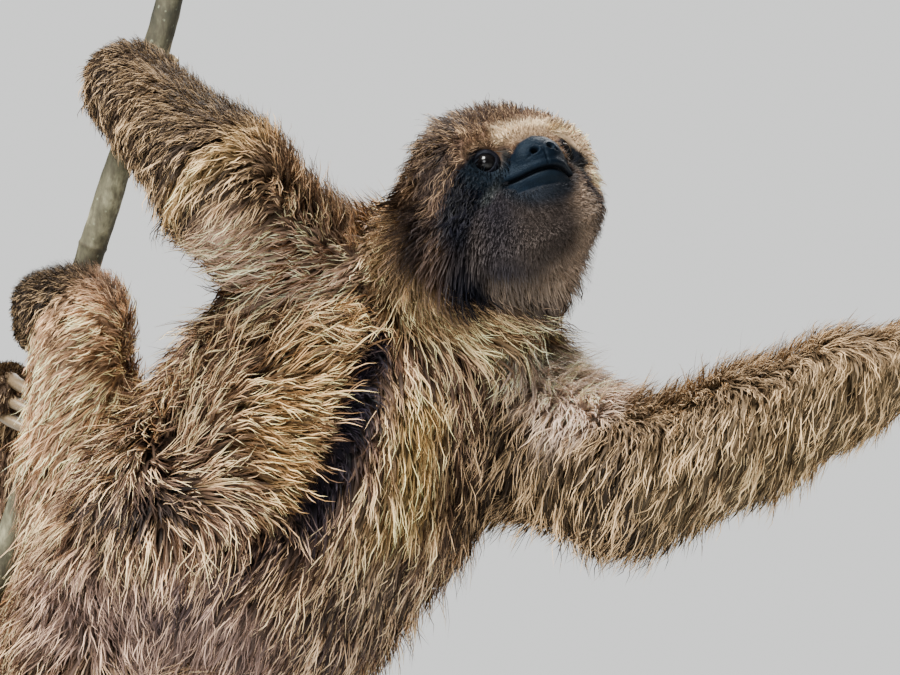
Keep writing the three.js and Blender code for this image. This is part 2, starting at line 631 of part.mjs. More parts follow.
const group = new THREE.Group();
for (const [name, solid] of Object.entries(build())) {
  const mesh = new THREE.Mesh(geometryFrom(solid), new THREE.MeshStandardMaterial(finish(name)));
  mesh.name = name;
  group.add(mesh);
}

export default group;
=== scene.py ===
"""Looks of a life-size display model: a three-toed sloth that climbs a thin stem.

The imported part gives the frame. One skin replaces its flesh nodes, a coat of solid tufts lies
over the skin, and the eyes, claws, stem and posts are made again with finer shapes.
Shapes are worked out in millimetres, in the part's own frame, and stored in metres.
"""
from __future__ import annotations

import logging
import math
from dataclasses import dataclass, field
from enum import StrEnum, auto
from typing import Any, Sequence

import bpy
import numpy as np
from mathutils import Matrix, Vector
from mathutils.kdtree import KDTree

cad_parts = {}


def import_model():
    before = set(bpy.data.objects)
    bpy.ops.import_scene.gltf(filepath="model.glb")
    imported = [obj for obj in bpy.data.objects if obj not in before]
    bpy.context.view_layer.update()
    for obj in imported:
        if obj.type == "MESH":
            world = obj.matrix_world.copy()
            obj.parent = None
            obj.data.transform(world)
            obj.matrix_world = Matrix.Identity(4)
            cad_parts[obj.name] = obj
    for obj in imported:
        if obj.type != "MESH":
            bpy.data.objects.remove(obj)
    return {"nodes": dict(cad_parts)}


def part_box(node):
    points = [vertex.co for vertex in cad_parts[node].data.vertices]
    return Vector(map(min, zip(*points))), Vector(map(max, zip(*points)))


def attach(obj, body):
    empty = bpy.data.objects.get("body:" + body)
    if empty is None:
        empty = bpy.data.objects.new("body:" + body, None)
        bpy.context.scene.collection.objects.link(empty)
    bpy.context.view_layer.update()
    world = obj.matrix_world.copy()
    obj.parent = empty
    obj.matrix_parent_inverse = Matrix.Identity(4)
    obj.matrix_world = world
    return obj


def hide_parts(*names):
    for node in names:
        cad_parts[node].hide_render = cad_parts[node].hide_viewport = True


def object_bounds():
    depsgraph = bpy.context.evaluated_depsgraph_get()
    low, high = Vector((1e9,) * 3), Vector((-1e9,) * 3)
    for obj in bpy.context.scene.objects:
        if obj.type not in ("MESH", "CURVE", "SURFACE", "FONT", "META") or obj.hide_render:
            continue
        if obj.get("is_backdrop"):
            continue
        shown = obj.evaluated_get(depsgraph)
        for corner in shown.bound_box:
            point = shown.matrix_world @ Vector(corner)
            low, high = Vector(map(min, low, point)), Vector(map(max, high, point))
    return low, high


MM = 0.001
LOG = logging.getLogger("sloth")
Point = tuple[float, float, float]
Colour = tuple[int, int, int]
Stops = Sequence[tuple[float, Sequence[float]]]
Object = bpy.types.Object
Material = bpy.types.Material
Array = np.ndarray
Arrays = tuple[Array, ...]
Sheet = tuple[Array, Array]             # vertices and faces
Gaze = tuple[Array, Array, Array]       # an eye's centre, the way it looks and the way it lies level


# ---- small helpers


def unit(v: Array) -> Array:
    """Scales each row of v, or v itself, to length one."""
    return v / np.maximum(np.linalg.norm(v, axis=-1, keepdims=True), 1e-9)


def dot(a: Array, b: Array) -> Array:
    """Gives the dot product along the last axis, kept as a column."""
    return np.sum(a * b, axis=-1, keepdims=True)


def ease(low: float, high: float, x: Array) -> Array:
    """Rises smoothly from 0 at low to 1 at high, which may be less than low."""
    t = np.clip((x - low) / (high - low), 0.0, 1.0)
    return t * t * (3.0 - 2.0 * t)


def linear(red: float, green: float, blue: float) -> Array:
    """Turns a display colour from 0 to 255 into linear light."""
    c = np.array([red, green, blue], float) / 255.0
    return np.where(c <= 0.04045, c / 12.92, ((c + 0.055) / 1.055) ** 2.4)


def tinted(colour: Array, tint: Colour, share: Array) -> Array:
    """Moves linear colours toward a display colour, each by its share."""
    return colour + (linear(*tint) - colour) * share[:, None]


def mixed(first: Array, second: Array, share: Array) -> Array:
    """Mixes values with others, each by its share."""
    return first * (1 - share) + second * share


def circle(count: int) -> Array:
    """Gives angles spaced evenly round a full turn."""
    return np.linspace(0, 2 * math.pi, count, endpoint=False)


def from_line(p: Array, a: Array, b: Array) -> tuple[Array, Array]:
    """Finds the place on a straight line nearest to each point.

    Args:
        p: points.
        a: the line's start.
        b: its end.

    Returns:
        How far along the place is, from 0 to 1, and the way from it to the point.
    """
    axis = b - a
    t = np.clip(((p - a) @ axis) / max(axis @ axis, 1e-6), 0.0, 1.0)
    return t, p - a - t[:, None] * axis


def closeness(p: Array, places: Array, reach: float) -> Array:
    """Gives how close each point is to each place, as a bell of a given reach."""
    gap = p[:, None] - places[None]
    return np.exp(-np.sum(gap * gap, 2) / (2 * reach ** 2))


def ring_quads(rings: int, around: int) -> Array:
    """Gives the quads between rings of vertices that follow one another.

    Args:
        rings: the number of rings.
        around: the number of vertices in each.

    Returns:
        The quads.
    """
    n = np.arange(around)
    ahead = (n + 1) % around
    band = np.stack([n, ahead, ahead + around, n + around], 1)
    return np.concatenate([band + k * around for k in range(rings - 1)])


def joined(sheets: Sequence[Sheet]) -> tuple[Array, Array, Array]:
    """Joins sheets into one.

    Args:
        sheets: the vertices and faces of each.

    Returns:
        All vertices, all faces and where the vertices of each sheet start.
    """
    starts = np.cumsum([0] + [len(v) for v, _ in sheets])
    faces = [f + start for (_, f), start in zip(sheets, starts)]
    return np.concatenate([v for v, _ in sheets]), np.concatenate(faces), starts


def waves(p: Array, size: float, seed: int) -> Array:
    """A smooth random field from -1 to 1, made of a few crossing waves.

    Args:
        p: points in millimetres.
        size: the width of one hump in millimetres.
        seed: picks the waves.

    Returns:
        One value for each point.
    """
    rng, total = np.random.default_rng(seed), np.zeros(len(p))
    for _ in range(6):
        way = unit(rng.normal(size=3)) * (math.pi / size) * rng.uniform(0.6, 1.5)
        total += np.sin(p @ way + rng.uniform(0, 6.28))
    return np.clip(total / 3.2, -1.0, 1.0)


def build_mesh(name: str, vertices: Array, faces: Array) -> Object:
    """Makes a smoothly shaded mesh object from arrays.

    Args:
        name: the object's name.
        vertices: points in millimetres.
        faces: an array of triangles or of quads.

    Returns:
        The object, linked to the scene.
    """
    mesh = bpy.data.meshes.new(name)
    corners = faces.shape[1]
    mesh.vertices.add(len(vertices))
    mesh.vertices.foreach_set("co", (vertices * MM).astype(np.float32).ravel())
    mesh.loops.add(faces.size)
    mesh.loops.foreach_set("vertex_index", faces.astype(np.int32).ravel())
    mesh.polygons.add(len(faces))
    mesh.polygons.foreach_set("loop_start", np.arange(0, faces.size, corners, dtype=np.int32))
    mesh.update(calc_edges=True)
    mesh.polygons.foreach_set("use_smooth", np.ones(len(faces), bool))
    made = bpy.data.objects.new(name, mesh)
    bpy.context.scene.collection.objects.link(made)
    return made


def paint_vertices(made: Object, name: str, colours: Array) -> None:
    """Stores a colour for each vertex.

    Args:
        made: the mesh object.
        name: the attribute's name.
        colours: linear colours, one row for each vertex.
    """
    layer = made.data.attributes.new(name, "FLOAT_COLOR", "POINT")
    rows = np.ones((len(colours), 4), np.float32)
    rows[:, :3] = colours
    layer.data.foreach_set("color", rows.ravel())


def mark_vertices(made: Object, name: str, values: Array) -> None:
    """Stores a number for each vertex."""
    layer = made.data.attributes.new(name, "FLOAT", "POINT")
    layer.data.foreach_set("value", values.astype(np.float32))


# ---- materials


class Socket:
    """A node's output that can be used in arithmetic."""

    def __init__(self, paint: Paint, link: bpy.types.NodeSocket) -> None:
        """Keeps the material being made and the node's output."""
        self.paint = paint
        self.link = link

    def _do(self, operation: str, first: Any, second: Any) -> Socket:
        """Adds a Math node and gives its output."""
        return self.paint.node("ShaderNodeMath", {"operation": operation}, {0: first, 1: second})

    def __add__(self, other: Any) -> Socket:
        """Adds."""
        return self._do("ADD", self, other)

    __radd__ = __add__

    def __mul__(self, other: Any) -> Socket:
        """Multiplies."""
        return self._do("MULTIPLY", self, other)

    __rmul__ = __mul__

    def __sub__(self, other: Any) -> Socket:
        """Subtracts."""
        return self._do("SUBTRACT", self, other)

    def __rsub__(self, other: Any) -> Socket:
        """Subtracts from the other."""
        return self._do("SUBTRACT", other, self)


class Paint:
    """A material made of nodes."""

    def __init__(self, name: str) -> None:
        """Starts an empty material.

        Args:
            name: the material's name.
        """
        self.material = bpy.data.materials.new(name)
        self.material.use_nodes = True
        self.tree = self.material.node_tree
        self.tree.nodes.clear()

    def node(self, kind: str, settings: dict[str, Any] | None = None,
             inputs: dict[str | int, Any] | None = None, output: str | int = 0) -> Socket:
        """Adds a node, sets it up, then fills its sockets.

        Args:
            kind: the node's type.
            settings: its own settings; "stops" fills a colour ramp.
            inputs: a value or a link for each socket, by name or number.
            output: the output that is wanted.

        Returns:
            That output.
        """
        made = self.tree.nodes.new(kind)
        for key, value in (settings or {}).items():
            if key == "stops":
                self._fill_ramp(made.color_ramp, value)
            else:
                setattr(made, key, value)
        for key, value in (inputs or {}).items():
            if isinstance(value, Socket):
                self.tree.links.new(value.link, made.inputs[key])
            else:
                made.inputs[key].default_value = value
        return Socket(self, made.outputs[output])

    @staticmethod
    def _fill_ramp(ramp: bpy.types.ColorRamp, stops: Stops) -> None:
        """Puts stops on a colour ramp.

        Args:
            ramp: the node's ramp.
            stops: a place from 0 to 1 and a colour for each.
        """
        while len(ramp.elements) < len(stops):
            ramp.elements.new(1.0)
        for element, (place, colour) in zip(ramp.elements, stops):
            element.position = place
            element.color = (*colour, 1.0)

    def place(self) -> Socket:
        """Gives the object's own coordinates, in metres."""
        return self.node("ShaderNodeTexCoord", output="Object")

    def vector(self, operation: str, first: Any, second: Any = (0.0, 0.0, 0.0),
               output: str | int = 0) -> Socket:
        """Adds a Vector Math node and gives one of its outputs."""
        return self.node("ShaderNodeVectorMath", {"operation": operation}, {0: first, 1: second}, output)

    def stretched(self, scale: Point) -> Socket:
        """Gives the coordinates multiplied along each axis."""
        return self.vector("MULTIPLY", self.place(), scale)

    def noise(self, size_mm: float, detail: float = 4.0, where: Socket | None = None) -> Socket:
        """Gives fractal noise from 0 to 1.

        Args:
            size_mm: the size of a hump.
            detail: the number of finer layers.
            where: coordinates in metres; the object's own if left out.

        Returns:
            The noise.
        """
        return self.node("ShaderNodeTexNoise", {}, {
            "Vector": where or self.place(), "Scale": 1.0 / (size_mm * MM), "Detail": detail,
            "Roughness": 0.6})

    def ramp(self, value: Socket, stops: Stops) -> Socket:
        """Turns a number into a colour."""
        return self.node("ShaderNodeValToRGB", {"stops": stops}, {"Fac": value})

    def ranged(self, value: Socket, low: float, high: float, out_low: float = 0.0,
               out_high: float = 1.0) -> Socket:
        """Maps a number from one range to another, clamped."""
        return self.node("ShaderNodeMapRange", {}, {
            "Value": value, "From Min": low, "From Max": high, "To Min": out_low, "To Max": out_high})

    def mix(self, share: Any, first: Any, second: Any, way: str = "MIX") -> Socket:
        """Mixes two colours.

        Args:
            share: how much of the second.
            first: a colour.
            second: a colour.
            way: the blend type.

        Returns:
            The mixed colour.
        """
        colours = [c if isinstance(c, Socket) else (*c, 1.0) for c in (first, second)]
        return self.node("ShaderNodeMix", {"data_type": "RGBA", "blend_type": way},
                         {0: share, 6: colours[0], 7: colours[1]}, 2)

    def attribute(self, name: str, output: str = "Color") -> Socket:
        """Gives a value stored on the mesh."""
        return self.node("ShaderNodeAttribute", {"attribute_name": name}, output=output)

    def shaded(self, colour: Socket, tint: Socket) -> Socket:
        """Makes a colour darker or lighter by a number."""
        grey = self.node("ShaderNodeCombineColor", {}, {"Red": tint, "Green": tint, "Blue": tint})
        return self.mix(1.0, colour, grey, "MULTIPLY")

    def bump(self, height: Socket, depth_mm: float) -> Socket:
        """Gives a normal bent by a height from 0 to 1."""
        return self.node("ShaderNodeBump", {}, {
            "Height": height, "Distance": depth_mm * MM, "Strength": 1.0})

    def finish(self, sockets: dict[str, Any]) -> Material:
        """Adds the shader and the material's output.

        Args:
            sockets: a value or a link for each of the shader's sockets.

        Returns:
            The material.
        """
        shader = self.node("ShaderNodeBsdfPrincipled", {}, sockets)
        surface = self.tree.nodes.new("ShaderNodeOutputMaterial")
        self.tree.links.new(shader.link, surface.inputs["Surface"])
        return self.material


@dataclass(frozen=True)
class CoatFinish:
    """Coarse, dry hair whose colour is stored on each tuft."""

    roughness: float = 0.62
    swing: float = 0.12         # how far the roughness varies
    streak_mm: float = 0.8
    patch_mm: float = 38.0
    shade: float = 0.35
    specular: float = 0.14

    def material(self) -> Material:
        """Makes the material.

        Returns:
            The material.
        """
        paint = Paint("coat_hair")
        streak = paint.noise(self.streak_mm, 2.0)
        patch = paint.noise(self.patch_mm, 3.0)
        tint = paint.ranged(streak * 0.6 + patch * 0.4, 0.3, 0.7, 1.0 - self.shade, 1.0 + self.shade)
        rough = paint.ranged(streak, 0.2, 0.8, self.roughness - self.swing, self.roughness + self.swing)
        return paint.finish({"Base Color": paint.shaded(paint.attribute("hair"), tint), "Roughness": rough,
                             "Specular IOR Level": self.specular})


@dataclass(frozen=True)
class SkinFinish:
    """Leathery skin whose colour is stored on the mesh; bare pads are smoother and finely wrinkled."""

    pore_mm: float = 0.55
    wrinkle_mm: float = 2.2
    mottle_mm: float = 3.0
    relief_mm: float = 0.26

    def material(self) -> Material:
        """Makes the material.

        Returns:
            The material.
        """
        paint = Paint("skin")
        bare = paint.attribute("bare", "Fac")
        mottle = paint.ranged(paint.noise(self.mottle_mm, 5.0), 0.3, 0.7, 0.72, 1.2)
        cells = paint.node("ShaderNodeTexVoronoi", {}, {
            "Vector": paint.place(), "Scale": 1.0 / (self.pore_mm * MM), "Randomness": 0.9})
        height = cells * 0.5 + paint.noise(self.wrinkle_mm, 5.0) * 0.9
        return paint.finish({
            "Base Color": paint.shaded(paint.attribute("hide"), mottle),
            "Roughness": paint.ranged(bare, 0.0, 1.0, 0.75, 0.55) + (paint.noise(1.4) - 0.5) * 0.25,
            "Specular IOR Level": 0.09, "Specular Tint": (0.62, 0.82, 1.0, 1.0),
            "Normal": paint.bump(height, self.relief_mm)})


@dataclass(frozen=True)
class EyeFinish:
    """A wet dark eye: brown iris, black pupil, darker rim."""

    pupil_mm: float = 2.1
    iris_mm: float = 4.3
    fibre_mm: float = 0.5

    def material(self, centre: Array, axis: Array) -> Material:
        """Makes the material for one eye.

        Args:
            centre: the eyeball's centre, in millimetres.
            axis: the way the eye looks.

        Returns:
            The material.
        """
        paint = Paint("eye")
        away = paint.vector("SUBTRACT", paint.place(), tuple(centre * MM))
        across = paint.vector("CROSS_PRODUCT", away, tuple(axis))
        radius = paint.vector("LENGTH", across, output="Value") * 1000.0
        fibre = paint.noise(self.fibre_mm, 6.0, paint.vector("NORMALIZE", across))
        iris = paint.ramp(fibre, [(0.3, linear(6, 6, 8)), (0.7, linear(16, 13, 13))])
        colour = paint.mix(paint.ranged(radius, self.pupil_mm - 0.15, self.pupil_mm + 0.25),
                           linear(5, 4, 5), iris)
        colour = paint.mix(paint.ranged(radius, self.iris_mm - 0.7, self.iris_mm + 0.2), colour,
                           linear(9, 8, 10))
        return paint.finish({"Base Color": colour, "Roughness": 0.2, "Coat Weight": 0.16,
                             "Coat Roughness": 0.12, "Specular IOR Level": 0.2})


@dataclass(frozen=True)
class ClawFinish:
    """Long horn claws, streaked along and darker at the root."""

    pale: Colour = (158, 138, 104)
    dark: Colour = (84, 68, 50)
    streak_mm: float = 0.9
    relief_mm: float = 0.12

    def material(self) -> Material:
        """Makes the material.

        Returns:
            The material.
        """
        paint = Paint("claw_horn")
        along = paint.attribute("along", "Fac")
        streak = paint.noise(self.streak_mm, 4.0)
        share = paint.ranged(along + (streak - 0.5) * 0.5, 0.0, 0.75)
        colour = paint.mix(share, linear(*self.dark), linear(*self.pale))
        rings = paint.node("ShaderNodeTexWave", {"bands_direction": "DIAGONAL"}, {
            "Vector": paint.place(), "Scale": 160.0, "Distortion": 5.0, "Detail": 3.0}, "Fac")
        return paint.finish({
            "Base Color": colour, "Roughness": paint.ranged(streak, 0.2, 0.8, 0.3, 0.5),
            "Normal": paint.bump(streak * 0.7 + rings * 0.3, self.relief_mm)})


@dataclass(frozen=True)
class BarkFinish:
    """Thin smooth bark: mottled green-brown and beige, with scars round it and fine cracks along it."""

    patch_mm: float = 13.0
    crack_mm: float = 1.6
    relief_mm: float = 0.5

    def material(self) -> Material:
        """Makes the material.

        Returns:
            The material.
        """
        paint = Paint("bark")
        patch = paint.noise(self.patch_mm, 5.0, paint.stretched((1.0, 1.0, 0.55)))
        fine = paint.noise(self.crack_mm, 6.0, paint.stretched((1.0, 1.0, 0.35)))
        colour = paint.ramp(patch, [
            (0.30, linear(26, 30, 20)), (0.44, linear(62, 60, 44)), (0.56, linear(94, 91, 70)),
            (0.70, linear(150, 147, 118))])
        spots = paint.node("ShaderNodeTexVoronoi", {}, {"Vector": paint.place(), "Scale": 240.0})
        lichen = paint.ranged(spots + paint.noise(4.0) * 0.5, 0.42, 0.34)
        colour = paint.mix(lichen * 0.55, colour, linear(140, 146, 120))
        rings = paint.attribute("ring", "Fac")
        colour = paint.mix(rings * 0.65, colour, linear(70, 62, 48))
        colour = paint.mix(paint.ranged(fine, 0.52, 0.36) * 0.55, colour, linear(66, 60, 48))
        colour = paint.mix(paint.attribute("cut", "Fac"), colour, self.end_grain(paint))
        return paint.finish({
            "Base Color": colour, "Roughness": paint.ranged(fine, 0.3, 0.7, 0.92, 0.7),
            "Normal": paint.bump(fine * 0.7 + patch * 0.6, self.relief_mm)})

    @staticmethod
    def end_grain(paint: Paint) -> Socket:
        """Gives the pale colour of the cut ends."""
        return paint.ramp(paint.noise(0.8, 3.0), [
            (0.3, linear(176, 142, 94)), (0.7, linear(214, 186, 140))])


@dataclass(frozen=True)
class WoodFinish:
    """Dark stained wood under satin varnish, with long grain."""

    grain_mm: float = 2.4
    warp_mm: float = 60.0
    relief_mm: float = 0.06

    def material(self) -> Material:
        """Makes the material.

        Returns:
            The material.
        """
        paint = Paint("stained_wood")
        warp = paint.noise(self.warp_mm, 3.0)
        grain = paint.noise(self.grain_mm, 6.0, paint.stretched((0.06, 1.0, 0.6)))
        bands = paint.node("ShaderNodeTexWave", {"bands_direction": "Y"}, {
            "Vector": paint.stretched((0.12, 1.0, 0.8)), "Scale": 26.0, "Distortion": 9.0, "Detail": 4.0,
            "Detail Scale": 1.2}, "Fac")
        share = grain * 0.55 + bands * 0.3 + warp * 0.2
        colour = paint.ramp(share, [
            (0.32, linear(34, 20, 13)), (0.5, linear(66, 40, 25)), (0.68, linear(98, 62, 38))])
        return paint.finish({
            "Base Color": colour, "Roughness": paint.ranged(grain, 0.3, 0.7, 0.3, 0.42),
            "Coat Weight": 0.35, "Coat Roughness": 0.18, "Normal": paint.bump(grain, self.relief_mm)})


@dataclass(frozen=True)
class SteelFinish:
    """Brushed steel, with fine lines round the rod."""

    line_mm: float = 0.6
    smudge_mm: float = 14.0
    relief_mm: float = 0.02

    def material(self) -> Material:
        """Makes the material.

        Returns:
            The material.
        """
        paint = Paint("brushed_steel")
        lines = paint.noise(self.line_mm, 3.0, paint.stretched((0.05, 0.05, 1.0)))
        smudge = paint.noise(self.smudge_mm, 3.0)
        return paint.finish({
            "Base Color": paint.mix(smudge, linear(150, 152, 154), linear(186, 188, 190)),
            "Metallic": 1.0, "Roughness": paint.ranged(lines * 0.7 + smudge * 0.3, 0.3, 0.7, 0.24, 0.42),
            "Normal": paint.bump(lines, self.relief_mm)})


@dataclass(frozen=True)
class StudioFinish:
    """The plain pale floor of the studio, which fades into the wall with distance."""

    near: float = 1.2           # metres from the middle
    distant: float = 4.2
    wall: Point = (0.84, 0.85, 0.84)
    glow: float = 1.35          # as bright as the wall looks
    cloud_mm: float = 300.0

    def material(self) -> Material:
        """Makes the material.

        Returns:
            The material.
        """
        paint = Paint("studio")
        black = (0.0, 0.0, 0.0)
        tone = paint.ramp(paint.noise(self.cloud_mm, 2.0), [
            (0.3, (0.70, 0.71, 0.70)), (0.7, (0.76, 0.77, 0.76))])
        far = paint.ranged(paint.vector("LENGTH", paint.place(), output="Value"), self.near, self.distant)
        return paint.finish({
            "Base Color": paint.mix(far, tone, black), "Roughness": 0.9, "Specular IOR Level": 0.0,
            "Emission Color": paint.mix(far, black, self.wall), "Emission Strength": self.glow})


# ---- the animal's shape


class Part(StrEnum):
    """The named parts of the animal that carry a coat."""

    TRUNK = auto()
    NECK = auto()
    SHOULDER_LEFT = auto()
    SHOULDER_RIGHT = auto()
    UPPER_ARM_LEFT = auto()
    FOREARM_LEFT = auto()
    HAND_LEFT = auto()
    UPPER_ARM_RIGHT = auto()
    FOREARM_RIGHT = auto()
    HAND_RIGHT = auto()
    THIGH_LEFT = auto()
    SHIN_LEFT = auto()
    FOOT_LEFT = auto()
    THIGH_RIGHT = auto()
    SHIN_RIGHT = auto()
    FOOT_RIGHT = auto()
    TAIL = auto()
    HEAD = auto()


@dataclass(frozen=True)
class HeadAxes:
    """The head's own axes: it looks over the shoulder with its chin raised."""

    yaw: float = 26.4
    pitch: float = 32.5
    roll: float = 13.0
    skull: Point = (119.0, -68.0, 353.0)

    def rows(self) -> Array:
        """Works out the head's directions.

        Returns:
            The left, forward and up directions as rows.
        """
        y, p, r = (math.radians(a) for a in (self.yaw, self.pitch, self.roll))
        forward = np.array([math.cos(p) * math.sin(y), -math.cos(p) * math.cos(y), math.sin(p)])
        level = np.array([math.cos(y), math.sin(y), 0.0])
        above = np.cross(forward, level)
        left = level * math.cos(r) + above * math.sin(r)
        return np.array([left, forward, above * math.cos(r) - level * math.sin(r)])

    def place(self, left: Any, forward: Any, up: Any) -> Array:
        """Turns millimetres to the left, toward the nose and toward the crown into the part's frame."""
        return np.array(self.skull) + np.stack(np.broadcast_arrays(left, forward, up), -1) @ self.rows()

    def local(self, p: Array) -> Array:
        """Turns points of the part's frame into head coordinates."""
        return (p - np.array(self.skull)) @ self.rows().T


@dataclass(frozen=True)
class Bone:
    """A round cone of flesh between two points. It may be flatter one way, and wears a coat."""

    a: Array
    b: Array
    radius: tuple[float, float]
    coat: tuple[float, float]
    flat: float = 1.0
    along: Array | None = None

    def distance(self, p: Array, coat: float) -> Array:
        """Gives the distance from each point to the bone's surface.

        Args:
            p: points.
            coat: 0 for the skin, 1 for the coat's tips.

        Returns:
            Distances, negative inside.
        """
        t, away = from_line(p, self.a, self.b)
        depth = self.coat[0] + (self.coat[1] - self.coat[0]) * t
        radius = self.radius[0] + (self.radius[1] - self.radius[0]) * t - depth * (1.0 - coat)
        if self.along is None:
            return np.linalg.norm(away, axis=1) - radius
        height = away @ self.along
        side = np.maximum(np.sum(away * away, 1) - height * height, 0.0)
        low = radius * self.flat
        first = np.sqrt(side / radius ** 2 + height ** 2 / low ** 2) + 1e-9
        second = np.sqrt(side / radius ** 4 + height ** 2 / low ** 4) + 1e-9
        return first * (first - 1.0) / second


def blend(a: Array, b: Array, width: float) -> Array:
    """Joins two distances with a soft fillet of a width."""
    h = np.maximum(width - np.abs(a - b), 0.0) / width
    return np.minimum(a, b) - h * h * width / 4.0


